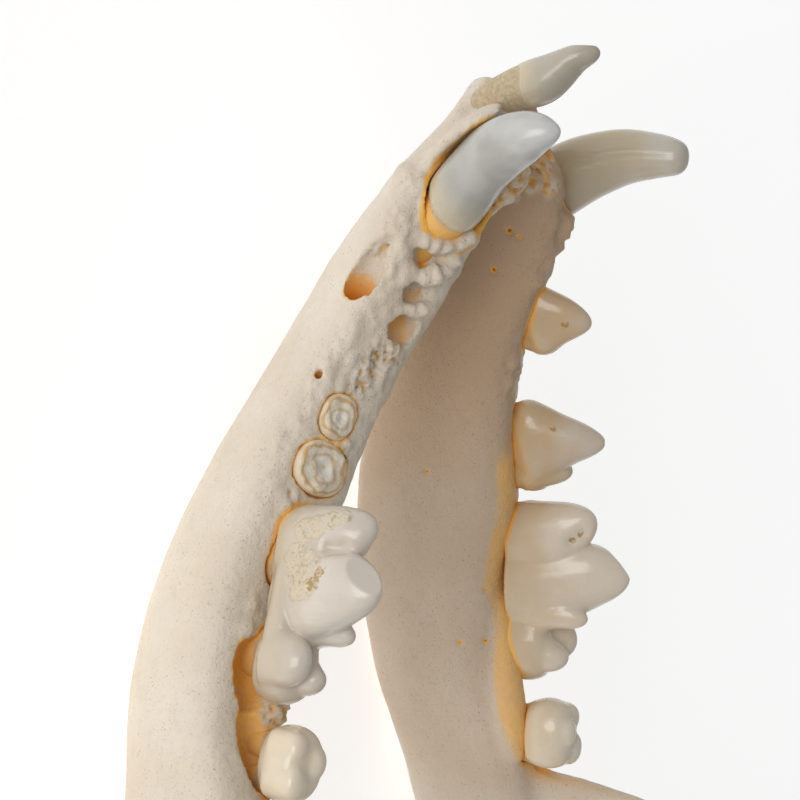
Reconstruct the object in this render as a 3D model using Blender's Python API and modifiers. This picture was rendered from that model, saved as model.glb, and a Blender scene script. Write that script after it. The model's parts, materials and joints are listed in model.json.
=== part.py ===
"""Lower jaw of a large dog, as a still, life-size museum model.

The jaw is two bones that meet at the chin, each with its own teeth. It lies as a dry jaw rests on
a table: on the belly of each lower edge and on the two hooks at the back, teeth up.

Each bone is built for the animal's left side in the frame of its tooth row, in millimetres:
x towards the animal's left, y backwards, z up from the row, with y = 0 at the front of the
carnassial tooth. The right bone is its mirror image. At the end both are tipped by REST_PITCH, set
down on z = 0 and centred, which gives a frame with +Z up and the nose towards -Y.
"""

import math

import bmesh
import bpy
import numpy as np
from mathutils import Matrix

# Driving sizes in millimetres
MM = 0.001
CHIN_Y = -48.5
CONDYLE_Y = 81.0
CONDYLE_X = 40.5
CONDYLE_Z = 4.6
CONDYLE_HALF_LENGTH = 11.5
CONDYLE_RADIUS = 4.6
MIDLINE_GAP = 0.3
REST_PITCH = 3.3
REST_FLAT_DEPTH = 0.35

# How finely the bone is cast and then thinned
CAST_VOXEL = 0.75
BONE_TRIANGLES = 3200

# The body of the jaw: y, middle x, top z, bottom z, half thickness, outward lean in degrees
BODY = (
    (CHIN_Y, 4.7, 9.4, 6.4, 2.9, 37),
    (-44, 6.1, 9.9, 5.0, 4.4, 37),
    (-38, 7.9, 9.8, 0.4, 6.0, 35),
    (-30, 9.5, 8.2, -7.2, 6.3, 31),
    (-22, 10.2, 5.2, -12.4, 5.9, 27),
    (-12, 13.9, 1.7, -15.6, 6.0, 26),
    (0, 18.8, 0.3, -19.4, 6.5, 25),
    (12, 23.1, -2.2, -20.9, 6.1, 19),
    (24, 26.8, -2.1, -19.9, 5.4, 11),
    (35, 29.9, 1.4, -16.9, 4.6, 6),
    (46, 33.2, 1.0, -15.4, 3.6, 5),
    (58, 36.4, -3.0, -14.8, 2.6, 5),
)
BODY_TOP_POWER = 3.4
BODY_BOTTOM_POWER = 2.2
BODY_TOP_FLARE = 0.16

# The side outline of the ramus, (y, z), from the ventral edge up the front, over the coronoid
# process, down to the condyle's neck and round the angular hook
RAMUS_OUTLINE = (
    (30, -9), (32.5, -2), (33.6, 4), (34.4, 10), (35.8, 17), (38.6, 24.5), (43.5, 31.5),
    (50, 37.3), (57, 41), (63.2, 42), (67.8, 40), (69.8, 35.5), (69.6, 29), (68.7, 22.5),
    (69, 16.5), (71.3, 11.8), (75.4, 9), (79.8, 8.3), (83, 5.8), (82.6, 1.8), (80, -1.8),
    (78.8, -5.6), (80.8, -8.8), (84.6, -10.6), (86.6, -13.2), (83.6, -15.8), (76.5, -16.8),
    (67.5, -16.1), (57.5, -15.2), (47, -15.3), (38, -15.6), (32.5, -13.5),
)
RAMUS_CENTRE = (58.0, 2.0)
RAMUS_MIDDLE_X = ((28, 28.0), (46, 33.2), (62, 37.0), (86, 41.6))
RAMUS_LEAN = 0.09
# Ridges that thicken the ramus: from (y, z) to (y, z), half width, extra outer, extra inner depth
RAMUS_RIDGES = (
    ((35.5, 0), (37, 14), 4.0, 2.6, 1.2),
    ((37, 14), (45, 31), 4.5, 2.2, 0.6),
    ((80, 5), (60, -4), 5.4, 2.0, 1.6),
    ((84, -12.5), (66, -13.5), 4.6, 1.9, 1.0),
    ((66, -13.5), (40, -10), 5.5, 2.4, 1.4),
)
RAMUS_HALF_OUTER = 0.95
RAMUS_HALF_INNER = 1.15


def smooth(at, rows):
    """Rows of (parameter, values...) read at `at`: a cubic through them, its slope at each row that of its
    two neighbours."""
    rows = np.asarray(rows, float)
    knots, values = rows[:, 0], rows[:, 1:]
    slopes = np.gradient(values, knots, axis=0)
    at = np.clip(np.asarray(at, float), knots[0], knots[-1])
    i = np.clip(np.searchsorted(knots, at) - 1, 0, len(knots) - 2)
    width = (knots[i + 1] - knots[i])[:, None]
    t = ((at - knots[i])[:, None]) / width
    return (
        (2 * t**3 - 3 * t**2 + 1) * values[i]
        + (t**3 - 2 * t**2 + t) * width * slopes[i]
        + (3 * t**2 - 2 * t**3) * values[i + 1]
        + (t**3 - t**2) * width * slopes[i + 1]
    )


def oval(angle, half_a, half_b, power):
    """A superellipse: |a / half_a|^power + |b / half_b|^power = 1."""
    cos, sin = np.cos(angle), np.sin(angle)
    a = half_a * np.sign(cos) * np.abs(cos) ** (2 / power)
    b = half_b * np.sign(sin) * np.abs(sin) ** (2 / power)
    return a, b


def closed_mesh(name, rings):
    """A closed surface through rings of points, each end drawn to a pole at the middle of its ring."""
    count, sides, _ = rings.shape
    corners = np.concatenate([rings.reshape(-1, 3), [rings[0].mean(axis=0)], [rings[-1].mean(axis=0)]])
    row = np.arange(count - 1)[:, None] * sides
    here = np.arange(sides)[None]
    after = (here + 1) % sides
    quads = np.stack([row + here, row + after, row + sides + after, row + sides + here], axis=-1)
    around = np.arange(sides)
    ahead = (around + 1) % sides
    last = (count - 1) * sides
    front = np.stack([np.full(sides, count * sides), ahead, around], axis=-1)
    back = np.stack([np.full(sides, count * sides + 1), last + around, last + ahead], axis=-1)
    faces = quads.reshape(-1, 4).tolist() + front.tolist() + back.tolist()
    mesh = bpy.data.meshes.new(name)
    mesh.from_pydata(corners.tolist(), [], faces)
    bm = bmesh.new()
    bm.from_mesh(mesh)
    bmesh.ops.recalc_face_normals(bm, faces=bm.faces)
    if bm.calc_volume(signed=True) < 0:
        bmesh.ops.reverse_faces(bm, faces=bm.faces)
    bmesh.ops.triangulate(bm, faces=bm.faces)
    bm.to_mesh(mesh)
    bm.free()
    return mesh


def body_rings(rings=46, sides=28):
    """The body of the jaw: a leaning superellipse carried backwards along the row, squarer and a little
    thicker at the top, where the sockets are, than at the bottom."""
    y = np.linspace(BODY[0][0], BODY[-1][0], rings)
    middle, top, bottom, half, lean = smooth(y, BODY).T[:, :, None]
    angle = np.linspace(0, 2 * math.pi, sides, endpoint=False)[None]
    topness = (1 + np.tanh(2 * np.cos(angle))) / 2
    power = BODY_BOTTOM_POWER + (BODY_TOP_POWER - BODY_BOTTOM_POWER) * topness
    up, out = oval(angle, (top - bottom) / 2, half, power)
    out = out * (1 + BODY_TOP_FLARE * 2 * up / (top - bottom))
    lean = np.radians(lean)
    x = middle + out * np.cos(lean) + up * np.sin(lean)
    z = (top + bottom) / 2 - out * np.sin(lean) + up * np.cos(lean)
    return np.stack([x, np.broadcast_to(y[:, None], x.shape), z], axis=-1)


def ridge_depth(y, z, side):
    """How much the ridges add to the ramus at (y, z): each is a bell across its line."""
    depth = np.zeros_like(y)
    for (y0, z0), (y1, z1), half, outer, inner in RAMUS_RIDGES:
        run, rise = y1 - y0, z1 - z0
        along = np.clip(((y - y0) * run + (z - z0) * rise) / (run**2 + rise**2), 0, 1)
        away = np.hypot(y - y0 - along * run, z - z0 - along * rise)
        depth = np.maximum(depth, (outer if side > 0 else inner) * np.exp(-((away / half) ** 2)))
    return depth


def ramus_rings(around=110, rings=13):
    """The ramus: a plate whose rings shrink from its outline to its centre, over the outer face and
    back over the inner one, with a rounded edge and the ridges of the ramus on both."""
    corner = np.array(RAMUS_OUTLINE + RAMUS_OUTLINE[:1], float)
    step = np.concatenate([[0], np.cumsum(np.hypot(*np.diff(corner, axis=0).T))])
    edge = smooth(np.linspace(0, step[-1], around, endpoint=False), np.column_stack([step, corner]))
    centre = np.array(RAMUS_CENTRE)
    turn = np.linspace(0.04, 0.96, 2 * rings + 1) * math.pi
    reach = np.sin(turn)[:, None] ** 0.55
    side = np.sign(np.cos(turn))[:, None]
    y = centre[0] + (edge[None, :, 0] - centre[0]) * reach
    z = centre[1] + (edge[None, :, 1] - centre[1]) * reach
    swell = np.sqrt(np.clip(1 - reach**14, 0, 1))
    outer = swell * (RAMUS_HALF_OUTER + ridge_depth(y, z, 1))
    inner = swell * (RAMUS_HALF_INNER + ridge_depth(y, z, -1))
    middle = smooth(y.ravel(), RAMUS_MIDDLE_X)[:, 0].reshape(y.shape) + RAMUS_LEAN * (z + 8)
    x = middle + np.where(side > 0, outer, -inner) * (side != 0)
    return np.stack([x, y, z], axis=-1)


def limb_rings(stations, across, sides=12, rings=8, power=2.2, tip=10):
    """A tapered limb: a superellipse carried along a smooth path through stations of
    (x, y, z, half width, half depth), its width along `across`, its far end closed like a dome."""
    stations = np.asarray(stations, float)
    u = np.linspace(0, 1, len(stations))
    t = 1 - (1 - np.linspace(0, 1, rings)) ** 1.35
    rows = smooth(t, np.column_stack([u, stations]))
    ahead = smooth(np.minimum(t + 0.02, 1), np.column_stack([u, stations]))[:, :3]
    behind = smooth(np.maximum(t - 0.02, 0), np.column_stack([u, stations]))[:, :3]
    along = ahead - behind
    along /= np.linalg.norm(along, axis=1)[:, None]
    wide = np.asarray(across, float) - (along @ np.asarray(across, float))[:, None] * along
    wide /= np.linalg.norm(wide, axis=1)[:, None]
    deep = np.cross(along, wide)
    dome = np.sqrt(np.maximum(1 - t**tip, 0.02))[:, None]
    angle = np.linspace(0, 2 * math.pi, sides, endpoint=False)[None]
    a, b = oval(angle, rows[:, 3:4] * dome, rows[:, 4:5] * dome, power)
    return rows[:, None, :3] + a[..., None] * wide[:, None] + b[..., None] * deep[:, None]


class Seat:
    """Where a tooth stands: its middle at the gum line, the way its row runs, and its outward lean."""

    def __init__(self, middle, row_angle, lean):
        row, tip = math.radians(row_angle), math.radians(lean)
        self.middle = np.array(middle, float)
        self.back = np.array([math.sin(row), math.cos(row), 0.0])
        flat_out = np.array([math.cos(row), -math.sin(row), 0.0])
        self.out = flat_out * math.cos(tip) - np.array([0, 0, math.sin(tip)])
        self.up = flat_out * math.sin(tip) + np.array([0, 0, math.cos(tip)])

    def place(self, stations):
        """Stations of (back, out, up, half width, half depth) in the tooth's own directions."""
        placed = []
        for back, out, up, width, depth in stations:
            point = self.middle + back * self.back + out * self.out + up * self.up
            placed.append((*point, width, depth))
        return placed


# Teeth: seats on the left bone, and each cusp or root as a limb in its seat's directions
CANINE_PATH = (
    (9.2, -20.5, -4.0, 2.2, 2.2),
    (11.4, -28.8, 1.6, 3.6, 3.0),
    (12.9, -35.5, 7.2, 4.1, 3.4),
    (14.0, -40.1, 13.2, 3.5, 3.0),
    (14.6, -42.3, 18.4, 2.7, 2.4),
    (14.9, -43.0, 22.6, 1.5, 1.4),
)
# The right canine stands straighter: how far it leads the left one at each of those stations
RIGHT_CANINE_LEAD = (3.0, 3.2, 2.7, 1.1, -0.3, -1.1)
# The open gap round each canine: share of its path, and how much wider than the tooth it is there
CANINE_GAP = ((0.3, 0.0), (0.36, 0.9), (0.48, 1.0), (0.6, 1.1))
CANINE_ACROSS = (0, -0.8, 0.6)
INCISOR_PATH = (
    (7.0, -42.0, 4.0, 1.3, 1.6),
    (7.6, -45.4, 8.4, 1.7, 2.1),
    (7.5, -47.4, 12.0, 2.0, 2.4),
    (7.2, -49.0, 15.8, 2.6, 2.7),
    (6.9, -51.2, 19.4, 2.2, 1.7),
    (6.8, -52.3, 22.0, 1.4, 1.0),
)
SEATS = {
    "second_premolar": Seat((14.0, -22.0, 4.4), 27, 10),
    "fourth_premolar": Seat((21.0, -6.3, 0.3), 24, 15),
    "broken_roots": Seat((20.3, -6.5, 0.0), 21, 24),
    "carnassial": Seat((26.0, 11.4, -0.8), 11, 11),
    "second_molar": Seat((27.6, 28.6, 1.4), 8, 11),
}
CUSPS = {
    "second_premolar": (
        ((-2.3, 0, -7, 1.4, 1.5), (-2.2, 0, -2, 1.7, 1.7), (-2.0, 0, 1.0, 1.9, 1.8)),
        ((2.3, 0, -7, 1.4, 1.5), (2.2, 0, -2, 1.8, 1.7), (2.0, 0, 1.0, 2.0, 1.8)),
        ((0.3, 0, -1.2, 4.0, 1.7), (0.3, 0, 1.2, 4.4, 2.1), (0.4, 0, 3.9, 3.2, 1.8), (1.0, 0, 7.3, 1.5, 1.0)),
        ((2.6, 0, 0.0, 1.6, 1.6), (3.0, 0, 2.4, 0.9, 0.9)),
    ),
    "fourth_premolar": (
        ((-3.2, 0, -8, 1.6, 1.9), (-3.1, 0, -2, 2.3, 2.2), (-2.8, 0, 1.5, 2.6, 2.5)),
        ((3.2, 0, -8, 1.6, 1.9), (3.1, 0, -2, 2.3, 2.3), (2.8, 0, 1.5, 2.6, 2.5)),
        ((-0.4, 0, -0.5, 5.2, 2.4), (-0.4, 0, 2.2, 5.4, 2.8), (-0.6, 0, 6.0, 3.6, 2.3), (-0.5, 0, 10.6, 1.5, 1.1)),
        ((3.0, 0, 0.5, 2.6, 2.2), (3.3, 0, 3.6, 1.9, 1.6), (3.6, 0, 5.6, 0.7, 0.7)),
        ((4.3, 0, 0.3, 1.5, 1.9), (4.9, 0, 2.8, 0.8, 0.9)),
    ),
    "carnassial": (
        ((-5.4, 0, -11, 2.4, 2.2), (-5.6, 0, -3, 4.0, 3.3), (-5.4, 0, 1.5, 4.8, 3.8)),
        ((5.2, 0, -10, 2.4, 2.2), (5.6, 0, -3, 3.6, 3.2), (5.4, 0, 1.5, 4.6, 3.8)),
        ((-6.4, 0, -0.8, 4.6, 3.4), (-6.8, -0.2, 2.8, 4.8, 3.7), (-8.5, -0.9, 6.8, 3.3, 2.6), (-10.0, -1.8, 10.2, 1.9, 1.2)),
        ((-1.4, -0.3, -0.8, 5.2, 3.5), (-1.4, -0.4, 3.0, 5.6, 3.9), (-2.4, -0.2, 8.6, 4.4, 3.1), (-2.3, -0.2, 14.0, 2.1, 1.4)),
        ((1.8, -1.2, 0, 2.6, 2.4), (2.2, -2.0, 5.0, 2.3, 1.9), (2.5, -2.6, 9.4, 1.1, 1.0)),
        ((6.4, -0.3, -0.8, 4.4, 3.5), (6.6, -0.3, 1.8, 4.6, 3.9), (6.7, -0.2, 4.5, 3.7, 3.3)),
        ((6.2, 1.7, 0.5, 3.2, 2.2), (6.3, 1.6, 4.2, 2.5, 1.8), (6.3, 1.5, 6.5, 1.3, 1.0)),
        ((6.8, -2.1, 0.5, 2.8, 1.6), (7.2, -2.0, 4.6, 2.3, 1.6), (7.4, -2.0, 6.9, 1.3, 1.1)),
    ),
    "second_molar": (
        ((-2.0, 0, -7, 1.6, 1.8), (-2.0, 0, -1.5, 2.3, 2.4), (-1.9, 0, 1.0, 2.4, 2.6)),
        ((2.3, 0, -6, 1.5, 1.7), (2.2, 0, -1.5, 2.1, 2.2), (2.1, 0, 1.0, 2.2, 2.4)),
        ((0, 0, -0.6, 4.0, 3.0), (0, 0, 1.6, 4.7, 3.4), (0, 0, 3.6, 3.8, 2.9)),
        ((-1.8, 1.3, 0.5, 2.2, 1.7), (-1.8, 1.3, 3.4, 1.8, 1.4), (-1.8, 1.3, 4.6, 1.1, 0.9)),
        ((-0.6, -1.5, 0.5, 2.4, 1.7), (-0.5, -1.6, 4.0, 1.9, 1.4), (-0.4, -1.7, 5.8, 1.1, 0.9)),
        ((1.9, 1.2, 0.5, 2.2, 1.9), (2.0, 1.2, 4.2, 1.9, 1.5), (2.1, 1.3, 6.2, 1.2, 1.0)),
    ),
}
# Broken roots of the left fourth premolar: place along the row, height of the break, half width, half depth
BROKEN_ROOTS = ((-3.1, 1.2, 2.1, 2.2), (3.1, 1.0, 2.6, 2.6))
ROOT_BELOW = 8.0

# Open sockets and nerve holes: mouth x, y, z, half width, half depth, then how deep and which way
LEFT_HOLES = (
    ((12.4, -27.8, 7.2), 1.9, 1.6, (-0.3, 0.35, -1.0), 6.0),
    ((13.3, -24.2, 5.4), 1.5, 1.4, (-0.35, 0.1, -1.0), 5.5),
    ((14.3, -19.4, 5.2), 1.8, 1.6, (-0.35, 0.1, -1.0), 6.0),
    ((30.0, 21.2, 1.8), 3.6, 2.4, (-0.2, 0.0, -1.0), 8.5),
)
RIGHT_HOLES = (
    ((3.6, -45.0, 10.0), 1.3, 1.2, (0.0, 0.5, -1.0), 4.5),
    ((7.2, -43.6, 10.8), 1.3, 1.4, (0.0, 0.5, -1.0), 4.5),
    ((30.6, 33.2, 3.8), 1.3, 1.2, (0.0, 0.0, -1.0), 3.5),
)
BOTH_HOLES = (
    ((17.0, -24.6, -1.6), 1.9, 1.9, (-1.0, 0.6, -0.4), 5.0),
    ((21.0, -14.6, -2.0), 0.8, 0.7, (-1.0, 0.4, -0.3), 4.0),
)


def clear_scene():
    for thing in list(bpy.data.objects):
        bpy.data.objects.remove(thing, do_unlink=True)


def collection(name, parent=None, hidden=False):
    made = bpy.data.collections.new(name)
    (parent or bpy.context.scene.collection).children.link(made)
    made.hide_render = hidden
    return made


def add(mesh, name, into):
    thing = bpy.data.objects.new(name, mesh)
    into.objects.link(thing)
    return thing


def bake(thing):
    """Replaces an object's mesh with the one that its modifiers give."""
    graph = bpy.context.evaluated_depsgraph_get()
    mesh = bpy.data.meshes.new_from_object(thing.evaluated_get(graph))
    old = thing.data
    thing.modifiers.clear()
    thing.data = mesh
    bpy.data.meshes.remove(old)


def boolean(thing, pieces, operation, solver="EXACT"):
    """Joins or cuts a collection's objects, then removes them."""
    modifier = thing.modifiers.new(operation.title(), "BOOLEAN")
    modifier.operation = operation
    modifier.operand_type = "COLLECTION"
    modifier.collection = pieces
    modifier.solver = solver
    bake(thing)
    for piece in list(pieces.objects):
        bpy.data.objects.remove(piece, do_unlink=True)


def keep_largest(thing):
    """Drops every closed surface of a mesh but the largest."""
    bm = bmesh.new()
    bm.from_mesh(thing.data)
    left = set(bm.faces)
    shells = []
    while left:
        shell, edge = [], [left.pop()]
        while edge:
            face = edge.pop()
            shell.append(face)
            for side in face.edges:
                for near in side.link_faces:
                    if near in left:
                        left.remove(near)
                        edge.append(near)
        shells.append(shell)
    shells.sort(key=lambda shell: sum(face.calc_area() for face in shell))
    for shell in shells[:-1]:
        bmesh.ops.delete(bm, geom=shell, context="FACES")
    bm.to_mesh(thing.data)
    bm.free()


def cast_and_thin(thing):
    """Casts the joined bone as one even skin, smooths its joints and thins it to its triangles."""
    remesh = thing.modifiers.new("Cast", "REMESH")
    remesh.mode = "VOXEL"
    remesh.voxel_size = CAST_VOXEL
    soften = thing.modifiers.new("Soften", "SMOOTH")
    soften.factor = 0.5
    soften.iterations = 4
    bake(thing)
    thin = thing.modifiers.new("Thin", "DECIMATE")
    thin.ratio = BONE_TRIANGLES / (2 * len(thing.data.polygons))
    thin.use_collapse_triangulate = True
    bake(thing)


def symphysis_rings():
    """The joint at the chin: an oblique rounded block between the two bodies, cut later at the midline."""
    return limb_rings(
        ((0, -48.2, 7.6, 5.0, 1.8), (0, -43, 4.2, 6.0, 3.6), (0, -35, -1.8, 7.0, 4.8),
         (0, -27.5, -7.0, 7.0, 4.2), (0, -23.5, -9.4, 6.0, 2.6)),
        (1, 0, 0), sides=20, rings=12, tip=20,
    )


def condyle_rings():
    """The condyle: a roller across the jaw, thickest a little inside its middle."""
    half, radius = CONDYLE_HALF_LENGTH, CONDYLE_RADIUS
    stations = []
    for across, share in ((-1.0, 0.45), (-0.62, 0.95), (-0.15, 1.0), (0.4, 0.86), (1.0, 0.4)):
        drop = 0.9 * across
        stations.append((CONDYLE_X + across * half, CONDYLE_Y, CONDYLE_Z + drop, radius * share, radius * share))
    return limb_rings(stations, (0, 1, 0), sides=16, rings=12, tip=14)


def neck_rings():
    """The condyle's neck, which carries the roller on the ramus."""
    return limb_rings(
        ((38.2, 62, -2.0, 3.6, 1.4), (39.3, 70, 0.8, 4.8, 2.8), (40.2, 76, 2.6, 5.0, 4.8), (40.5, 81, 3.8, 4.0, 7.4)),
        (0, 0.2, 1), sides=14, rings=8, tip=30,
    )


def canine_stations(side):
    """The canine's path on one side."""
    stations = np.array(CANINE_PATH)
    if side < 0:
        stations[:, 1] -= RIGHT_CANINE_LEAD
    return stations


def canine_gap_stations(side):
    """The open gap round the canine: a stretch of the tooth's own path, made wider."""
    path = canine_stations(side)
    share, wider = np.array(CANINE_GAP).T
    stations = smooth(share, np.column_stack([np.linspace(0, 1, len(path)), path]))
    stations[:, 3:] += wider[:, None]
    return stations


def canine_swell_rings():
    """The wall of the canine's socket, which swells the side of the jaw over the long root."""
    return limb_rings(
        ((9.4, -19, -6.0, 2.4, 2.0), (10.8, -28, 0.4, 4.4, 3.8), (11.9, -33.6, 4.6, 5.0, 3.9),
         (12.4, -37.0, 6.8, 5.4, 3.4)),
        (0, -0.7, 0.7), sides=18, rings=10, tip=24,
    )


def hole_rings(mouth, half_width, half_depth, way, deep):
    """A socket or nerve hole: a limb that narrows from above its mouth to a rounded floor."""
    mouth = np.array(mouth, float)
    way = np.array(way, float)
    way /= np.linalg.norm(way)
    stations = []
    for along, share in ((-2.5, 1.12), (0.0, 1.0), (0.55, 0.86), (1.0, 0.5)):
        point = mouth + way * (along if along < 0 else along * deep)
        stations.append((*point, half_width * share, half_depth * share))
    across = (0, 1, 0) if abs(way[1]) < 0.6 else (0, 0.5, 1)
    return limb_rings(stations, across, sides=10, rings=6, tip=12)


def mirrored(rings, side):
    return rings * np.array([side, 1, 1])


def tooth_shapes(side):
    """The limbs of the teeth on one side: the left has an incisor and two broken roots where the right
    has premolars."""
    yield "canine", limb_rings(canine_stations(side), CANINE_ACROSS, sides=14, rings=11, tip=14)
    present = ["carnassial", "second_molar"]
    if side > 0:
        yield "incisor", limb_rings(INCISOR_PATH, (1, 0, 0), sides=10, rings=9, tip=12)
        seat = SEATS["broken_roots"]
        for back, up, width, depth in BROKEN_ROOTS:
            stump = seat.place((
                (back, 0, up - ROOT_BELOW, width * 0.6, depth * 0.6),
                (back, 0, up - ROOT_BELOW / 3, width, depth),
                (back, 0, up, width, depth),
            ))
            yield "broken_root", limb_rings(stump, seat.back, sides=10, rings=4, tip=16)
    else:
        present += ["second_premolar", "fourth_premolar"]
    for tooth in present:
        seat = SEATS[tooth]
        for cusp in CUSPS[tooth]:
            yield tooth, limb_rings(seat.place(cusp), seat.back, sides=9, rings=5 + len(cusp) // 4)


def floor_turn():
    """From the tooth row's frame to the lying one, before the jaw is set down."""
    return Matrix.Rotation(math.radians(-REST_PITCH), 4, "X")


def box_mesh(name, low, high):
    low, high = np.array(low, float), np.array(high, float)
    mesh = bpy.data.meshes.new(name)
    bm = bmesh.new()
    bmesh.ops.create_cube(bm, size=1)
    bmesh.ops.scale(bm, vec=high - low, verts=bm.verts)
    bmesh.ops.translate(bm, vec=(low + high) / 2, verts=bm.verts)
    bm.to_mesh(mesh)
    bm.free()
    return mesh


def bone_material():
    material = bpy.data.materials.new("bone")
    material.use_nodes = True
    shader = material.node_tree.nodes["Principled BSDF"]
    shader.inputs["Base Color"].default_value = (0.72, 0.62, 0.49, 1)
    shader.inputs["Roughness"].default_value = 0.55
    shader.inputs["Metallic"].default_value = 0.0
    return material


def build_bone(name, side, parts, working):
    """One half of the jaw, still in the tooth row's frame and in millimetres."""
    bone = add(closed_mesh(name, mirrored(body_rings(), side)), name, parts)
    forms = (ramus_rings(), symphysis_rings(), condyle_rings(), neck_rings(), canine_swell_rings())
    for rings in forms:
        add(closed_mesh("form", mirrored(rings, side)), "form", working)
    boolean(bone, working, "UNION")
    cast_and_thin(bone)
    wide = 60 * side
    edge = MIDLINE_GAP / 2 * side
    add(box_mesh("midline", (min(edge, -wide), -90, -60), (max(edge, -wide), 120, 90)), "midline", working)
    socket = limb_rings(canine_gap_stations(side), CANINE_ACROSS, sides=14, rings=7, tip=30)
    add(closed_mesh("canine_socket", mirrored(socket, side)), "canine_socket", working)
    holes = BOTH_HOLES + (LEFT_HOLES if side > 0 else RIGHT_HOLES)
    for mouth, width, depth, way, deep in holes:
        add(closed_mesh("hole", mirrored(hole_rings(mouth, width, depth, way, deep), side)), "hole", working)
    boolean(bone, working, "DIFFERENCE")
    for tooth, rings in tooth_shapes(side):
        add(closed_mesh(tooth, mirrored(rings, side)), tooth, working)
    boolean(bone, working, "UNION")
    keep_largest(bone)
    return bone


def lay_down(bones, working):
    """Tips both bones back, sets them on the floor, centres them and turns millimetres into metres."""
    for bone in bones:
        bone.data.transform(floor_turn())
    points = np.array([corner.co[:] for bone in bones for corner in bone.data.vertices])
    low, high = points.min(axis=0), points.max(axis=0)
    move = Matrix.Translation((0, -(low[1] + high[1]) / 2, -low[2] - REST_FLAT_DEPTH))
    for bone in bones:
        bone.data.transform(move)
        add(box_mesh("floor", (-90, -120, -20), (90, 120, 0)), "floor", working)
        boolean(bone, working, "DIFFERENCE")
        keep_largest(bone)
        bone.data.transform(Matrix.Scale(MM, 4))
        bone.data.shade_smooth()
        bone.data.set_sharp_from_angle(angle=math.radians(50))


def main():
    clear_scene()
    parts = collection("dog_lower_jaw")
    working = collection("working_pieces", hidden=True)
    bones = [build_bone("mandible_left", 1, parts, working), build_bone("mandible_right", -1, parts, working)]
    lay_down(bones, working)
    material = bone_material()
    for bone in bones:
        bone.data.materials.clear()
        bone.data.materials.append(material)


main()
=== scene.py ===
"""Lower jaw of a large dog, cleaned and dried, lying on a pale table with its teeth up.

Every piece is made in the frame of the tooth row, in millimetres: x towards the animal's left, y
backwards, z up, with y = 0 at the front of the carnassial tooth. Pieces are made for the left side,
mirrored where they belong to the right one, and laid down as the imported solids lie.
"""

import json
import math

import bmesh
import bpy
import numpy as np
from mathutils import Matrix, Vector

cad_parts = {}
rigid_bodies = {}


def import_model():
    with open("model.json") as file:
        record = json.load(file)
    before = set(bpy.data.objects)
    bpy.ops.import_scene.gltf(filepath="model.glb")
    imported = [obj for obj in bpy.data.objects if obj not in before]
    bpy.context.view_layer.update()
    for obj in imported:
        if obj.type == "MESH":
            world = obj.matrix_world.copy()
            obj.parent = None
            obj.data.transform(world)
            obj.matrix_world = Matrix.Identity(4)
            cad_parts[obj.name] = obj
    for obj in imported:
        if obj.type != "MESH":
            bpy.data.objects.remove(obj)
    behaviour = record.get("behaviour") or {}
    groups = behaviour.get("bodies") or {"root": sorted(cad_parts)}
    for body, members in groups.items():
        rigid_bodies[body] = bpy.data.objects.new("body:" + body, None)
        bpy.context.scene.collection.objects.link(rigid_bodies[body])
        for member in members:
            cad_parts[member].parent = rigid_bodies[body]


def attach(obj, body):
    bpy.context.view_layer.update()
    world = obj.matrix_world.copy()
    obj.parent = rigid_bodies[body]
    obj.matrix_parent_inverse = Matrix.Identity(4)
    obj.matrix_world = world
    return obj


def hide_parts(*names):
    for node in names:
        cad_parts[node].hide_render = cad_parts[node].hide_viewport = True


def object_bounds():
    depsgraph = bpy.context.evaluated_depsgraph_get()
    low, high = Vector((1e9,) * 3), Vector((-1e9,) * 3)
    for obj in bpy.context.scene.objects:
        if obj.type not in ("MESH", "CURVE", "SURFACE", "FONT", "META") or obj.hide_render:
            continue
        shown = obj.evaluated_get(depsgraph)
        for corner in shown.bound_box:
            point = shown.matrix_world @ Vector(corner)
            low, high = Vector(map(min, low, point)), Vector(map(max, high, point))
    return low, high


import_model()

CAD_BOX = [list(corner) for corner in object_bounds()]


# The lying jaw and the camera that looks down on it
# A dry jaw rests on the belly of both bones and on the two hooks at the back, which tips the tooth
# row by a few degrees. The camera stands beside it, low over the left side, with a long lens.

ROW_PITCH = math.radians(3.3)
ROW_MOVE = np.array((0.0, -17.07, 21.0926))
EYE = np.array((354.075, -27.716, 220.252))
LENS, SENSOR = 162.0, 36.0
CAMERA_HEIGHT, CAMERA_SWING, CAMERA_ROLL = 0.564508, 0.046859, 0.0883585
LEFT, RIGHT = 1, -1


def lay(points):
    """Tooth row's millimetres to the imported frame's metres: turned by -ROW_PITCH about x, then moved."""
    x, y, z = np.moveaxis(np.asarray(points, float), -1, 0)
    cos, sin = math.cos(ROW_PITCH), math.sin(ROW_PITCH)
    return (np.stack([x, cos * y + sin * z, cos * z - sin * y], axis=-1) + ROW_MOVE) / 1000


def camera_axes():
    """Right, up and backward directions of the camera in the row's frame: backward points to the eye,
    its height and swing angles turn it up from +x, and the roll turns the other two about it."""
    back = np.array((
        math.cos(CAMERA_HEIGHT) * math.cos(CAMERA_SWING),
        -math.cos(CAMERA_HEIGHT) * math.sin(CAMERA_SWING),
        math.sin(CAMERA_HEIGHT),
    ))
    right = np.cross((0, -1, 0), back)
    right /= np.linalg.norm(right)
    up = np.cross(back, right)
    cos, sin = math.cos(CAMERA_ROLL), math.sin(CAMERA_ROLL)
    return cos * right + sin * up, cos * up - sin * right, back


camera = bpy.data.objects.new("camera", bpy.data.cameras.new("camera"))
bpy.context.scene.collection.objects.link(camera)
camera.data.lens = LENS
camera.data.sensor_width = SENSOR
camera.data.clip_start, camera.data.clip_end = 0.02, 10
axes = [Vector((lay(axis) - lay((0, 0, 0))) * 1000) for axis in camera_axes()]
camera.matrix_world = Matrix.Translation(lay(EYE)) @ Matrix(axes).transposed().to_4x4()
bpy.context.scene.camera = camera


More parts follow.
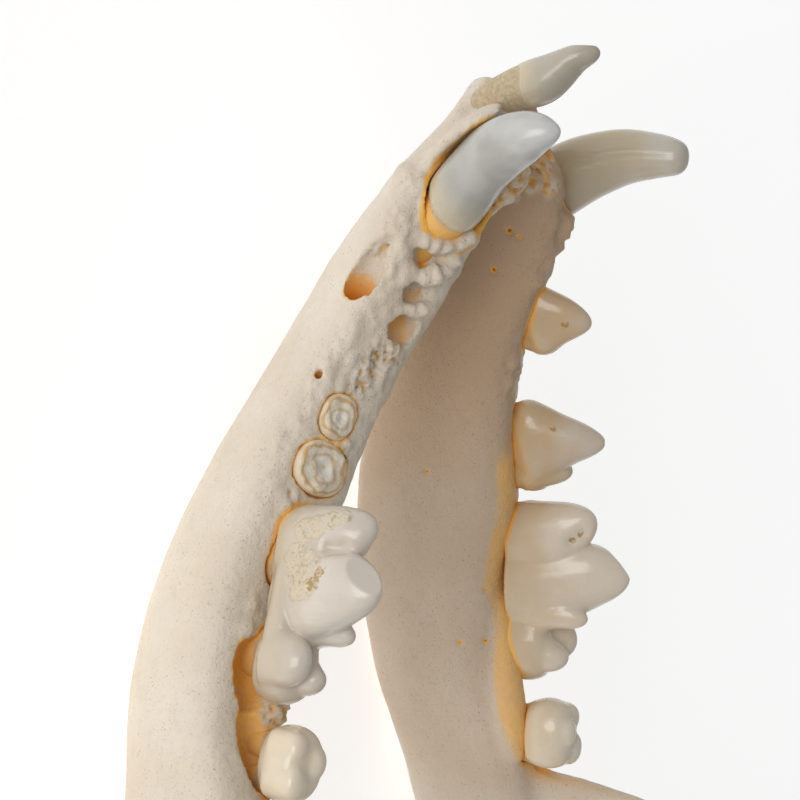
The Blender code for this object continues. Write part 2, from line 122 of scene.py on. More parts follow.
# The two jaw bones
# Dry, cleaned bone, cream and matt, open where teeth have fallen out. Each half is its body with the
# sockets along its top, the upright ramus with its condyle and hook behind, and half of the chin joint.

# The body: y, middle x, top z, bottom z, half thickness, outward lean in degrees
BODY = (
    (-48.5, 4.7, 9.4, 6.4, 2.9, 37),
    (-44, 6.1, 9.9, 5.0, 4.4, 37),
    (-38, 7.9, 9.8, 0.4, 6.0, 35),
    (-30, 9.5, 8.2, -7.2, 6.3, 31),
    (-22, 10.2, 5.2, -12.4, 5.9, 27),
    (-12, 13.9, 1.7, -15.6, 6.0, 26),
    (0, 18.8, 0.3, -19.4, 6.5, 25),
    (12, 23.1, -2.2, -20.9, 6.1, 19),
    (24, 26.8, -2.1, -19.9, 5.4, 11),
    (35, 29.9, 1.4, -16.9, 4.6, 6),
    (46, 33.2, 1.0, -15.4, 3.6, 5),
    (58, 36.4, -3.0, -14.8, 2.6, 5),
)
BODY_TOP_POWER, BODY_BOTTOM_POWER, BODY_TOP_FLARE = 3.4, 2.2, 0.16

# The side outline of the ramus, (y, z), and the ridges that thicken it:
# from (y, z) to (y, z), half width, extra outer depth, extra inner depth
RAMUS_OUTLINE = (
    (30, -9), (32.5, -2), (33.6, 4), (34.4, 10), (35.8, 17), (38.6, 24.5), (43.5, 31.5),
    (50, 37.3), (57, 41), (63.2, 42), (67.8, 40), (69.8, 35.5), (69.6, 29), (68.7, 22.5),
    (69, 16.5), (71.3, 11.8), (75.4, 9), (79.8, 8.3), (83, 5.8), (82.6, 1.8), (80, -1.8),
    (78.8, -5.6), (80.8, -8.8), (84.6, -10.6), (86.6, -13.2), (83.6, -15.8), (76.5, -16.8),
    (67.5, -16.1), (57.5, -15.2), (47, -15.3), (38, -15.6), (32.5, -13.5),
)
RAMUS_RIDGES = (
    ((35.5, 0), (37, 14), 4.0, 2.6, 1.2),
    ((37, 14), (45, 31), 4.5, 2.2, 0.6),
    ((80, 5), (60, -4), 5.4, 2.0, 1.6),
    ((84, -12.5), (66, -13.5), 4.6, 1.9, 1.0),
    ((66, -13.5), (40, -10), 5.5, 2.4, 1.4),
)
RAMUS_CENTRE = (58.0, 2.0)
RAMUS_MIDDLE_X = ((28, 28.0), (46, 33.2), (62, 37.0), (86, 41.6))
RAMUS_LEAN, RAMUS_HALF_OUTER, RAMUS_HALF_INNER = 0.09, 0.95, 1.15
CONDYLE = (40.5, 81.0, 4.6)
CONDYLE_HALF_LENGTH, CONDYLE_RADIUS = 11.5, 4.6
MIDLINE_GAP = 0.3
# The other limbs of each bone: the oblique block of the chin joint, the neck that carries the condyle, and
# the wall that swells over the canine's long root. Stations of x, y, z, half width and half depth, then
# the direction of the width, sides, rings and how blunt the end is.
BONE_LIMBS = (
    (((0, -48.2, 7.6, 5.0, 1.8), (0, -43, 4.2, 6.0, 3.6), (0, -35, -1.8, 7.0, 4.8),
      (0, -27.5, -7.0, 7.0, 4.2), (0, -23.5, -9.4, 6.0, 2.6)), (1, 0, 0), 40, 24, 20),
    (((38.2, 62, -2.0, 3.6, 1.4), (39.3, 70, 0.8, 4.8, 2.8), (40.2, 76, 2.6, 5.0, 4.8),
      (40.5, 81, 3.8, 4.0, 7.4)), (0, 0.2, 1), 32, 18, 30),
    (((9.4, -19, -6.0, 2.4, 2.0), (10.8, -28, 0.4, 4.4, 3.8), (11.9, -33.6, 4.6, 5.0, 3.9),
      (12.4, -37.0, 6.8, 5.4, 3.4)), (0, -0.7, 0.7), 40, 24, 24),
)

# Each canine's path, which its socket follows: x, y, z, half width, half depth. Round each there is
# an open gap, moved to one side: share of the path, and how much wider than the tooth it is there.
CANINE_PATH = {
    LEFT: ((9.6, -20.5, -3.0, 2.2, 2.2), (10.9, -28.6, 3.0, 3.0, 2.8), (12.0, -35.0, 8.7, 4.2, 3.6),
           (13.6, -39.6, 13.5, 3.75, 3.2), (14.5, -42.1, 18.4, 2.9, 2.6), (14.9, -42.9, 22.6, 1.6, 1.5)),
    RIGHT: ((9.2, -23.5, -4.0, 2.2, 2.2), (11.4, -32.0, 1.6, 3.6, 3.0), (12.9, -38.2, 7.2, 4.1, 3.4),
            (14.0, -41.2, 13.2, 3.5, 3.0), (14.6, -42.0, 18.4, 2.7, 2.4), (14.9, -41.9, 22.6, 1.9, 1.7)),
}
CANINE_ACROSS = (0, -0.8, 0.6)
CANINE_GAP = {
    LEFT: ((-0.3, 0.25, 0.45), ((0.32, 0.0), (0.37, 0.6), (0.48, 0.7), (0.6, 0.7))),
    RIGHT: ((0, 0, 0), ((0.27, -0.2), (0.6, 0.1))),
}

# The left incisor's path, and where the cheek teeth stand: middle at the gum line, turn of the row
# and outward lean in degrees
INCISOR_PATH = (
    (7.0, -42.0, 4.0, 1.3, 1.6),
    (7.6, -45.4, 8.4, 1.7, 2.1),
    (7.5, -47.4, 12.0, 2.0, 2.4),
    (7.25, -48.8, 15.6, 2.5, 2.55),
    (6.95, -51.3, 19.2, 2.1, 1.5),
    (6.8, -52.3, 22.0, 1.4, 1.25),
)
SEATS = {
    "second_premolar": ((14.0, -22.0, 4.4), 27, 10),
    "fourth_premolar": ((21.0, -6.3, 0.3), 24, 15),
    "broken_roots": ((20.3, -6.5, 0.0), 21, 24),
    "carnassial": ((26.0, 11.4, -0.8), 11, 11),
    "second_molar": ((27.6, 28.6, 1.4), 8, 11),
}
# Their two roots each: stations of (back, out, up, half width, half depth) from the seat
ROOTS = {
    "second_premolar": (
        ((-2.3, 0, -7, 1.4, 1.5), (-2.2, 0, -2, 1.7, 1.7), (-2.0, 0, 1.0, 1.9, 1.8)),
        ((2.3, 0, -7, 1.4, 1.5), (2.2, 0, -2, 1.8, 1.7), (2.0, 0, 1.0, 2.0, 1.8)),
    ),
    "fourth_premolar": (
        ((-3.2, 0, -8, 1.6, 1.9), (-3.1, 0, -2, 2.3, 2.2), (-2.8, 0, 1.5, 2.6, 2.5)),
        ((3.2, 0, -8, 1.6, 1.9), (3.1, 0, -2, 2.3, 2.3), (2.8, 0, 1.5, 2.6, 2.5)),
    ),
    "broken_roots": (
        ((-3.1, 0, -6.8, 1.4, 1.4), (-3.1, 0, -1.5, 2.6, 2.1), (-3.0, 0, 0.8, 2.7, 2.2)),
        ((3.1, 0, -7.0, 1.7, 1.8), (3.1, 0, -1.6, 3.0, 3.2), (3.1, 0, 0.6, 3.1, 3.3)),
    ),
    "carnassial": (
        ((-5.4, -0.9, -11, 2.4, 1.8), (-5.6, -1.0, -3, 3.8, 2.4), (-5.4, -1.0, 1.5, 4.6, 2.7)),
        ((5.2, -1.4, -10, 2.0, 1.4), (5.6, -1.4, -3, 3.0, 1.9), (5.4, -1.2, 1.5, 4.2, 2.7)),
    ),
    "second_molar": (
        ((-1.6, -1.0, -7, 1.3, 1.2), (-1.6, -1.0, -1.5, 1.7, 1.5), (-1.8, -0.7, 1.0, 2.1, 2.0)),
        ((2.3, -0.8, -6, 1.3, 1.3), (2.2, -0.8, -1.5, 1.8, 1.6), (2.1, -0.6, 1.0, 2.1, 2.0)),
    ),
}
CHEEK_TEETH = {
    LEFT: ("broken_roots", "carnassial", "second_molar"),
    RIGHT: ("second_premolar", "fourth_premolar", "carnassial", "second_molar"),
}
ROOT_CLEARANCE = 0.1
# How much farther outwards these roots stand on the right half
RIGHT_ROOT_SHIFT = {"carnassial": 1.0, "second_molar": 0.9}

# Nerve holes and empty sockets: how amber they are down in them, as painted glow of light through the
# thin bone and painted shade deepest down, then a limb from the mouth inwards: x, y, z, half width, half
# depth
NERVE_HOLES = (
    (0.75, ((17.6, -30.2, 4.5, 0.6, 0.6), (17.9, -29.0, 3.4, 1.2, 1.1), (17.7, -27.3, 2.2, 1.6, 1.5),
            (17.2, -25.2, 0.7, 1.8, 1.7), (16.4, -23.6, -0.4, 1.7, 1.8), (14.8, -22.2, -1.4, 1.3, 1.5),
            (12.8, -21.0, -2.2, 0.9, 1.0))),
    (1.0, ((21.8, -15.2, -1.2, 0.5, 0.5), (20.6, -13.9, -2.0, 0.75, 0.6), (18.9, -12.4, -3.2, 0.5, 0.5))),
)
EMPTY_SOCKETS = {
    LEFT: (
        (0.2, ((16.6, -28.2, 6.0, 0.7, 0.7), (14.8, -27.9, 6.1, 1.5, 1.6), (13.0, -27.6, 6.6, 1.6, 1.9),
               (11.4, -27.4, 7.2, 1.0, 1.0))),
        (0.8, ((13.0, -27.1, 6.6, 0.5, 0.5), (12.4, -27.2, 5.0, 0.5, 0.5), (12.1, -27.3, 4.0, 0.4, 0.4))),
        (0.24, ((13.9, -23.4, 6.8, 1.9, 2.1), (13.3, -23.7, 5.4, 1.8, 1.9), (12.6, -24.2, 3.8, 1.4, 1.4),
                (12.2, -24.4, 3.2, 0.7, 0.7))),
        (0.36, ((14.0, -19.1, 5.6, 2.1, 2.4), (13.4, -19.4, 4.0, 2.0, 2.1), (12.7, -19.8, 2.1, 1.6, 1.5),
                (12.4, -20.0, 1.2, 0.8, 0.8))),
        (0.6, ((27.9, 19.6, 1.0, 4.5, 2.4), (27.6, 19.6, -3.0, 4.4, 2.4), (27.3, 19.6, -5.4, 3.2, 1.9))),
        (0.54, ((28.7, 27.0, 3.0, 5.1, 2.2), (28.3, 27.0, -1.7, 5.0, 2.1), (28.1, 27.0, -3.8, 3.2, 1.6))),
    ),
    RIGHT: (
        (0.6, ((5.4, -42.6, 13.0, 1.2, 1.1), (5.0, -41.4, 10.8, 1.2, 1.1), (4.8, -40.4, 9.2, 0.7, 0.7))),
        (0.6, ((3.1, -44.8, 12.4, 1.1, 0.9), (2.9, -43.4, 10.0, 1.1, 0.9), (2.7, -42.4, 8.6, 0.7, 0.6))),
        (0.6, ((7.4, -44.6, 13.0, 1.2, 1.0), (7.0, -43.2, 10.8, 1.2, 1.0), (6.8, -42.0, 9.0, 0.7, 0.7))),
        (0.6, ((30.8, 33.0, 6.0, 1.3, 1.2), (30.6, 33.2, 2.4, 1.2, 1.1), (30.4, 33.4, 0.4, 0.7, 0.6))),
    ),
}

# The first cast joins the forms, the second gives the skin that is worked over
FIRST_VOXEL, FIRST_PASSES = 0.55, 8
SKIN_VOXEL, SKIN_PASSES = 0.33, 2

# On the left, the bone that clasps the incisor's root, the thin wall of the canine's socket up its
# front, the inner rim of the socket behind the carnassial and the spongy mound between canine and chin
# joint. On the right, the inner rim along the back teeth. Each has the direction of its width.
SOCKET_WALLS = {
    LEFT: (
        ((1, 0, 0), ((6.5, -41.0, 4.5, 3.0, 3.0), (6.9, -44.6, 8.9, 2.3, 2.8),
                     (7.2, -46.8, 11.9, 2.2, 2.7))),
        ((0.38, -0.62, -0.6), (
            (12.6, -35.8, 3.0, 0.9, 1.8), (12.85, -37.8, 4.55, 0.9, 2.1), (13.05, -40.2, 6.7, 0.9, 2.8),
            (12.8, -42.7, 9.2, 0.9, 3.4), (12.7, -44.3, 11.7, 0.8, 3.2), (12.9, -44.9, 13.8, 0.6, 2.4))),
        ((1, 0, 0), ((24.2, 17.5, -3.6, 1.2, 1.6), (23.8, 20.5, -2.6, 1.4, 1.8),
                     (24.0, 23.5, -2.2, 1.4, 1.8), (24.8, 26.5, -2.0, 1.2, 1.7))),
        ((1, 0, 0), ((7.6, -33.6, 8.4, 1.6, 1.6), (5.4, -36.8, 10.4, 2.2, 1.8),
                     (3.0, -39.4, 11.4, 2.4, 2.0))),
    ),
    RIGHT: (
        ((1, 0, 0), ((23.2, 10.0, -3.4, 1.2, 1.2), (23.7, 14.5, -2.2, 1.5, 1.7),
                     (24.1, 19.0, -1.2, 1.6, 1.9), (24.5, 23.5, -0.5, 1.6, 2.0),
                     (25.3, 28.5, 0.4, 1.6, 2.0), (26.4, 33.0, 0.6, 1.4, 1.8))),
    ),
}
# How much lower the right half ends at the chin, where its incisors are gone
RIGHT_CHIN_DROP = 2.8
# How rough the tooth-bearing edge is along the row: y, millimetres
ROUGH_EDGE = {
    LEFT: ((-50, 0.08), (-40, 0.2), (-33, 0.7), (-27, 0.8), (-23, 0.4), (-18, 0.5), (-15, 0.6),
           (-10, 0.4), (-3, 0.4), (2, 0.15), (30, 0.1), (40, 0)),
    RIGHT: ((-50, 0.1), (-40, 0.3), (-34, 0.5), (-27, 0.4), (-23, 0.12), (-16, 0.4), (-11, 0.14),
            (30, 0.1), (40, 0)),
}
# Where broken bone shows its spongy inside: x, y, z, reach
SPONGY = {
    LEFT: ((15.3, -16.2, 2.4, 2.8), (16.8, -12.8, 1.4, 2.6), (13.9, -16.5, 3.1, 2.2), (16.7, -27.9, 2.4, 1.9),
           (16.1, -14.3, 1.8, 2.6), (5.4, -36.8, 12.2, 2.4), (3.0, -39.2, 13.2, 2.6), (7.0, -34.8, 10.4, 2.0),
           (18.6, -4.6, 0.9, 1.4), (24.4, -0.4, -1.5, 1.2), (24.0, 23.5, -0.8, 3.2)),
    RIGHT: ((3.0, -40.5, 10.0, 1.8), (3.7, -39.2, 10.5, 1.8), (3.3, -37.3, 8.8, 1.6), (2.9, -36.0, 6.8, 1.2),
            (2.6, -38.4, 7.9, 1.6), (5.0, -37.2, 10.6, 1.8)),
}
# How amber the spongy bone is along the row: y, share
SPONGY_WASH = ((-50, 0.55), (-34, 0.52), (-30, 0.12), (12, 0.12), (18, 0.36), (40, 0.36))
# How amber the open gap round each canine is: a painted glow of light through the thin bone, darker deep down
# as painted shade
GAP_GLOW = 0.7
# Knobs and small holes of the skin: x, y, z, reach, height (a hole is below zero)
KNOBS = {
    LEFT: ((14.6, -29.8, 6.4, 0.8, 0.8), (13.3, -29.6, 7.1, 0.7, 1.2), (12.1, -29.4, 7.7, 0.8, 1.4),
           (10.8, -29.8, 8.5, 0.8, 1.3), (9.8, -30.4, 9.0, 0.7, 1.1), (15.2, -25.6, 4.8, 0.8, 0.6),
           (13.6, -25.8, 5.9, 0.7, 1.1), (12.3, -26.0, 6.6, 0.8, 1.4), (11.2, -26.8, 7.4, 0.9, 1.4),
           (10.6, -28.0, 8.0, 0.7, 1.1), (13.4, -22.0, 4.8, 0.6, 0.8), (12.2, -21.9, 5.3, 0.7, 1.1),
           (11.0, -22.2, 5.8, 0.8, 0.8), (14.2, -17.4, 3.2, 0.8, 0.8), (18.3, -3.4, 1.1, 0.8, 0.6),
           (25.1, 0.6, -1.7, 0.8, 0.5), (22.0, -6.6, -0.9, 0.6, 0.45), (20.7, -6.5, -0.2, 0.6, 0.5),
           (19.4, -6.4, 0.3, 0.6, 0.45), (18.1, -6.3, 0.9, 0.6, 0.5), (27.8, 11.8, -3.3, 0.8, 0.5),
           (28.3, 14.5, -3.4, 1.0, 0.5), (16.1, -35.8, 5.2, 1.0, 0.4), (16.4, -33.3, 4.7, 1.0, 0.4),
           (16.2, -31.4, 5.3, 1.0, 0.4), (10.1, -31.4, 9.2, 1.1, 0.5), (8.3, -34.1, 10.3, 0.9, 0.5),
           (6.0, -36.5, 11.1, 0.9, 0.4), (7.3, -47.4, 8.2, 1.4, 1.0), (28.7, 19.5, -4.3, 0.5, -0.7)),
    RIGHT: ((4.4, -31.7, 5.9, 0.5, -0.6), (5.1, -27.1, 3.8, 0.5, -0.5), (5.1, -31.2, 6.9, 0.4, -0.4),
            (4.5, -29.4, 5.2, 0.35, -0.3), (10.2, -33.6, 10.2, 1.0, 0.9), (10.6, -32.3, 9.6, 0.8, 0.8),
            (11.1, -30.6, 8.5, 0.9, 0.8), (10.0, -28.7, 8.5, 0.9, 0.7), (9.4, -26.3, 7.5, 0.9, 0.7),
            (12.2, -16.5, 3.6, 0.8, 0.5), (14.3, -15.4, 2.7, 0.8, 0.5), (12.9, -13.8, 2.7, 0.8, 0.5),
            (11.8, -2.3, -7.0, 0.35, -0.3), (22.1, 18.0, -2.9, 0.4, -0.3), (20.2, 11.6, -2.4, 0.35, -0.25),
            (20.6, 18.5, -5.6, 0.35, -0.2)),
}


def smooth(at, rows):
    """Rows of (parameter, values...) read at `at`: a cubic through them, its slope at each row that
    of its two neighbours."""
    rows = np.asarray(rows, float)
    knots, values = rows[:, 0], rows[:, 1:]
    slopes = np.gradient(values, knots, axis=0)
    at = np.clip(np.asarray(at, float), knots[0], knots[-1])
    i = np.clip(np.searchsorted(knots, at) - 1, 0, len(knots) - 2)
    width = (knots[i + 1] - knots[i])[:, None]
    t = ((at - knots[i])[:, None]) / width
    return (
        (2 * t**3 - 3 * t**2 + 1) * values[i]
        + (t**3 - 2 * t**2 + t) * width * slopes[i]
        + (3 * t**2 - 2 * t**3) * values[i + 1]
        + (t**3 - t**2) * width * slopes[i + 1]
    )


def on_path(share, stations):
    """Stations read at shares of their path, from 0 at the first one to 1 at the last."""
    return smooth(share, np.column_stack([np.linspace(0, 1, len(stations)), stations]))


def oval(angle, half_a, half_b, power):
    """A superellipse: |a / half_a|^power + |b / half_b|^power = 1."""
    cos, sin = np.cos(angle), np.sin(angle)
    a = half_a * np.sign(cos) * np.abs(cos) ** (2 / power)
    b = half_b * np.sign(sin) * np.abs(sin) ** (2 / power)
    return a, b


def limb(stations, across, sides=28, rings=18, power=2.2, tip=10):
    """A tapered limb: a superellipse carried along a smooth path through stations of
    (x, y, z, half width, half depth), its width along `across`, its far end closed like a dome:
    both half sizes times sqrt(1 - t^tip)."""
    t = 1 - (1 - np.linspace(0, 1, rings)) ** 1.35
    rows = on_path(t, stations)
    ahead, behind = np.minimum(t + 0.02, 1), np.maximum(t - 0.02, 0)
    along = (on_path(ahead, stations) - on_path(behind, stations))[:, :3]
    along /= np.linalg.norm(along, axis=1)[:, None]
    across = np.asarray(across, float)
    wide = across - (along @ across)[:, None] * along
    wide /= np.linalg.norm(wide, axis=1)[:, None]
    deep = np.cross(along, wide)
    dome = np.sqrt(np.maximum(1 - t**tip, 0.02))[:, None]
    angle = np.linspace(0, 2 * math.pi, sides, endpoint=False)[None]
    a, b = oval(angle, rows[:, 3:4] * dome, rows[:, 4:5] * dome, power)
    return rows[:, None, :3] + a[..., None] * wide[:, None] + b[..., None] * deep[:, None]


def body_rings(rings=120, sides=64):
    """The body of the jaw: a leaning superellipse carried backwards along the row, squarer and a
    little thicker at the top, where the sockets are, than at the bottom."""
    y = np.linspace(BODY[0][0], BODY[-1][0], rings)
    middle, top, bottom, half, lean = smooth(y, BODY).T[:, :, None]
    angle = np.linspace(0, 2 * math.pi, sides, endpoint=False)[None]
    topness = (1 + np.tanh(2 * np.cos(angle))) / 2
    power = BODY_BOTTOM_POWER + (BODY_TOP_POWER - BODY_BOTTOM_POWER) * topness
    up, out = oval(angle, (top - bottom) / 2, half, power)
    out = out * (1 + BODY_TOP_FLARE * 2 * up / (top - bottom))
    lean = np.radians(lean)
    x = middle + out * np.cos(lean) + up * np.sin(lean)
    z = (top + bottom) / 2 - out * np.sin(lean) + up * np.cos(lean)
    return np.stack([x, np.broadcast_to(y[:, None], x.shape), z], axis=-1)


def ridge_depth(y, z, side):
    """How much the ridges add to the ramus at (y, z): each is a bell across its line."""
    depth = np.zeros_like(y)
    for (y0, z0), (y1, z1), half, outer, inner in RAMUS_RIDGES:
        run, rise = y1 - y0, z1 - z0
        along = np.clip(((y - y0) * run + (z - z0) * rise) / (run**2 + rise**2), 0, 1)
        away = np.hypot(y - y0 - along * run, z - z0 - along * rise)
        depth = np.maximum(depth, (outer if side > 0 else inner) * np.exp(-((away / half) ** 2)))
    return depth


def ramus_rings(around=240, rings=24):
    """The ramus: a plate whose rings shrink from its outline to its centre, over the outer face and
    back over the inner one, with a rounded edge and the ridges of the ramus on both."""
    corner = np.array(RAMUS_OUTLINE + RAMUS_OUTLINE[:1], float)
    length = np.concatenate([[0], np.cumsum(np.hypot(*np.diff(corner, axis=0).T))])
    edge = smooth(np.linspace(0, length[-1], around, endpoint=False), np.column_stack([length, corner]))
    centre = np.array(RAMUS_CENTRE)
    turn = np.linspace(0.02, 0.98, 2 * rings + 1) * math.pi
    reach = np.sin(turn)[:, None] ** 0.55
    side = np.sign(np.cos(turn))[:, None]
    y = centre[0] + (edge[None, :, 0] - centre[0]) * reach
    z = centre[1] + (edge[None, :, 1] - centre[1]) * reach
    swell = np.sqrt(np.clip(1 - reach**14, 0, 1))
    outer = swell * (RAMUS_HALF_OUTER + ridge_depth(y, z, 1))
    inner = swell * (RAMUS_HALF_INNER + ridge_depth(y, z, -1))
    middle = smooth(y.ravel(), RAMUS_MIDDLE_X)[:, 0].reshape(y.shape) + RAMUS_LEAN * (z + 8)
    x = middle + np.where(side > 0, outer, -inner) * (side != 0)
    return np.stack([x, y, z], axis=-1)


def condyle_rings():
    """The condyle: a roller across the jaw, thickest a little inside its middle."""
    stations = []
    for across, share in ((-1.0, 0.45), (-0.62, 0.95), (-0.15, 1.0), (0.4, 0.86), (1.0, 0.4)):
        x, z = CONDYLE[0] + across * CONDYLE_HALF_LENGTH, CONDYLE[2] + 0.9 * across
        stations.append((x, CONDYLE[1], z, CONDYLE_RADIUS * share, CONDYLE_RADIUS * share))
    return limb(stations, (0, 1, 0), sides=36, rings=24, tip=14)


def canine_gap_stations(side):
    """The open gap round the canine: a stretch of the tooth's own path, moved and made wider."""
    move, stretch = CANINE_GAP[side]
    share, wider = np.array(stretch).T
    stations = on_path(share, CANINE_PATH[side])
    stations[:, :3] += move
    stations[:, 3:] += wider[:, None]
    return stations


def seat_axes(tooth):
    """The middle of a tooth's seat, and its directions back along the row, outwards and up."""
    middle, row, tip = SEATS[tooth]
    row, tip = math.radians(row), math.radians(tip)
    flat_out = np.array([math.cos(row), -math.sin(row), 0.0])
    return (
        np.array(middle, float),
        np.array([math.sin(row), math.cos(row), 0.0]),
        flat_out * math.cos(tip) - np.array([0, 0, math.sin(tip)]),
        flat_out * math.sin(tip) + np.array([0, 0, math.cos(tip)]),
    )


def seated(tooth, stations):
    """Stations of (back, out, up, half width, half depth) placed from a tooth's seat."""
    middle, back, out, up = seat_axes(tooth)
    stations = np.asarray(stations, float)
    return np.column_stack([middle + stations[:, :3] @ np.array([back, out, up]), stations[:, 3:]])


def root_stations(side, tooth):
    """The stations of a tooth's roots, placed from its seat."""
    shift = RIGHT_ROOT_SHIFT.get(tooth, 0) if side == RIGHT else 0
    return [seated(tooth, np.array(root) + (0, shift, 0, 0, 0)) for root in ROOTS[tooth]]


def root_gap_stations(stations):
    """The slot round a root: its two upper stations, wider by the clearance."""
    upper = np.array(stations[-2:], float)
    upper[:, 3:] += ROOT_CLEARANCE
    return upper


def solid_mesh(name, ring_sets):
    """One mesh of closed surfaces, each through rings of points and drawn to a pole at both ends."""
    bm = bmesh.new()
    for rings in ring_sets:
        count, sides, _ = rings.shape
        points = np.concatenate([rings.reshape(-1, 3), [rings[0].mean(axis=0), rings[-1].mean(axis=0)]])
        row = np.arange(count - 1)[:, None] * sides
        here = np.arange(sides)[None]
        after = (here + 1) % sides
        quads = np.stack([row + here, row + after, row + sides + after, row + sides + here], axis=-1)
        last = (count - 1) * sides
        front = np.stack([np.full(sides, count * sides), after[0], here[0]], axis=-1)
        back = np.stack([np.full(sides, count * sides + 1), last + here[0], last + after[0]], axis=-1)
        shell = bpy.data.meshes.new("shell")
        shell.from_pydata(points.tolist(), [], quads.reshape(-1, 4).tolist() + front.tolist() + back.tolist())
        bm.from_mesh(shell)
        bpy.data.meshes.remove(shell)
    bmesh.ops.recalc_face_normals(bm, faces=bm.faces)
    mesh = bpy.data.meshes.new(name)
    bm.to_mesh(mesh)
    bm.free()
    return mesh


def add_object(mesh, name):
    thing = bpy.data.objects.new(name, mesh)
    bpy.context.scene.collection.objects.link(thing)
    return thing


def add_form(name, ring_sets):
    return add_object(solid_mesh(name, ring_sets), name)


def bake(thing):
    """Replaces an object's mesh with the one that its modifiers give."""
    graph = bpy.context.evaluated_depsgraph_get()
    mesh = bpy.data.meshes.new_from_object(thing.evaluated_get(graph))
    old = thing.data
    thing.modifiers.clear()
    thing.data = mesh
    bpy.data.meshes.remove(old)


def cast(thing, voxel, passes):
    """Casts an object's overlapping forms as one even skin and softens it."""
    remesh = thing.modifiers.new("Cast", "REMESH")
    remesh.mode = "VOXEL"
    remesh.voxel_size = voxel
    soften = thing.modifiers.new("Soften", "SMOOTH")
    soften.factor = 0.5
    soften.iterations = passes
    bake(thing)


def carve(thing, ring_sets):
    """Cuts closed limbs out of an object."""
    cutters = bpy.data.collections.new("cutters")
    bpy.context.scene.collection.children.link(cutters)
    for rings in ring_sets:
        cutters.objects.link(bpy.data.objects.new("cutter", solid_mesh("cutter", [rings])))
    cut = thing.modifiers.new("Carve", "BOOLEAN")
    cut.operation = "DIFFERENCE"
    cut.operand_type = "COLLECTION"
    cut.collection = cutters
    cut.solver = "EXACT"
    bake(thing)
    for cutter in list(cutters.objects):
        bpy.data.objects.remove(cutter, do_unlink=True)
    bpy.data.collections.remove(cutters)


def read(mesh):
    """Corner points and their normals, as arrays."""
    points = np.empty(len(mesh.vertices) * 3)
    normals = np.empty(len(mesh.vertices) * 3)
    mesh.vertices.foreach_get("co", points)
    mesh.vertex_normals.foreach_get("vector", normals)
    return points.reshape(-1, 3), normals.reshape(-1, 3)


def write(mesh, points):
    mesh.vertices.foreach_set("co", np.asarray(points, float).ravel())
    mesh.update()


def mark(mesh, **values):
    """Stores values as attributes of the corners, for the materials to read."""
    for name, value in values.items():
        layer = mesh.attributes.new(name, "FLOAT", "POINT")
        layer.data.foreach_set("value", np.zeros(len(mesh.vertices)) + value)


def step(low, high, value):
    """0 below low, 1 above high (or the other way round if low > high), and a smooth S between."""
    t = np.clip((value - low) / (high - low), 0, 1)
    return t * t * (3 - 2 * t)


def chance(cell, seed):
    """A number from 0 to 1 for each whole-numbered cell, always the same for the same seed."""
    key = cell[:, 0] * 73856093 ^ cell[:, 1] * 19349663 ^ cell[:, 2] * 83492791 ^ seed * 2654435761
    key = (key ^ (key >> 15)) * 2246822519 & 0xFFFFFFFF
    key = (key ^ (key >> 13)) * 3266489917 & 0xFFFFFFFF
    return ((key ^ (key >> 16)) & 0xFFFFFF) / 0xFFFFFF


def grain(points, size, seed):
    """Soft random hills from -1 to 1: chances at the corners of cubes of `size`, blended between."""
    place = points / size
    cell = np.floor(place).astype(np.int64)
    t = place - cell
    t = t * t * (3 - 2 * t)
    total = np.zeros(len(points))
    for corner in np.ndindex(2, 2, 2):
        share = np.prod(np.where(corner, t, 1 - t), axis=1)
        total += share * (2 * chance(cell + corner, seed) - 1)
    return total


def pits(points, size, seed):
    """Distance, in cells, to the nearest of points scattered one to a cube of `size`."""
    place = points / size
    cell = np.floor(place).astype(np.int64)
    nearest = np.full(len(points), 9.0)
    for corner in np.ndindex(3, 3, 3):
        there = cell + np.array(corner) - 1
        spot = np.stack([chance(there, seed + k) for k in range(3)], axis=-1)
        nearest = np.minimum(nearest, np.linalg.norm(there + spot - place, axis=1))
    return nearest


def near_spots(points, spots):
    """How near each point is to the nearest of spots of (x, y, z, reach): 1 at its middle, 0 beyond."""
    nearness = np.zeros(len(points))
    for *middle, reach in spots:
        nearness = np.maximum(nearness, step(reach, 0.35 * reach, np.linalg.norm(points - middle, axis=1)))
    return nearness


def along_limb(points, stations, samples=40):
    """For each point: the share of the limb's path nearest to it, and how far it lies from the path in
    units of the limb's half width there along the row and of its half depth across it."""
    shares = np.linspace(0, 1, samples)
    best = np.zeros(len(points))
    away = np.full(len(points), 1e9)
    for share, row in zip(shares, on_path(shares, stations)):
        distance = np.linalg.norm((points - row[:3]) / row[[4, 3, 4]], axis=1)
        best = np.where(distance < away, share, best)
        away = np.minimum(distance, away)
    return best, away


def crest_depth(points):
    """How far below the top of the jaw's body each point lies, along its lean, and how far outwards of
    its middle plane."""
    middle, top, bottom, _, lean = smooth(points[:, 1], BODY).T
    lean = np.radians(lean)
    x, z = points[:, 0] - middle, points[:, 2] - (top + bottom) / 2
    return (top - bottom) / 2 - (x * np.sin(lean) + z * np.cos(lean)), x * np.cos(lean) - z * np.sin(lean)


def place_piece(thing, side, points):
    """Mirrors a right-hand piece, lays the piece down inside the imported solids' box, so that its flats
    lie on the table, and leaves its faces pointing outwards."""
    write(thing.data, np.clip(lay(points * (side, 1, 1)), *CAD_BOX))
    if side == RIGHT:
        thing.data.flip_normals()
    thing.data.shade_smooth()


def finish_piece(piece, material):
    piece.data.materials.clear()
    piece.data.materials.append(material)
    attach(piece, "root")


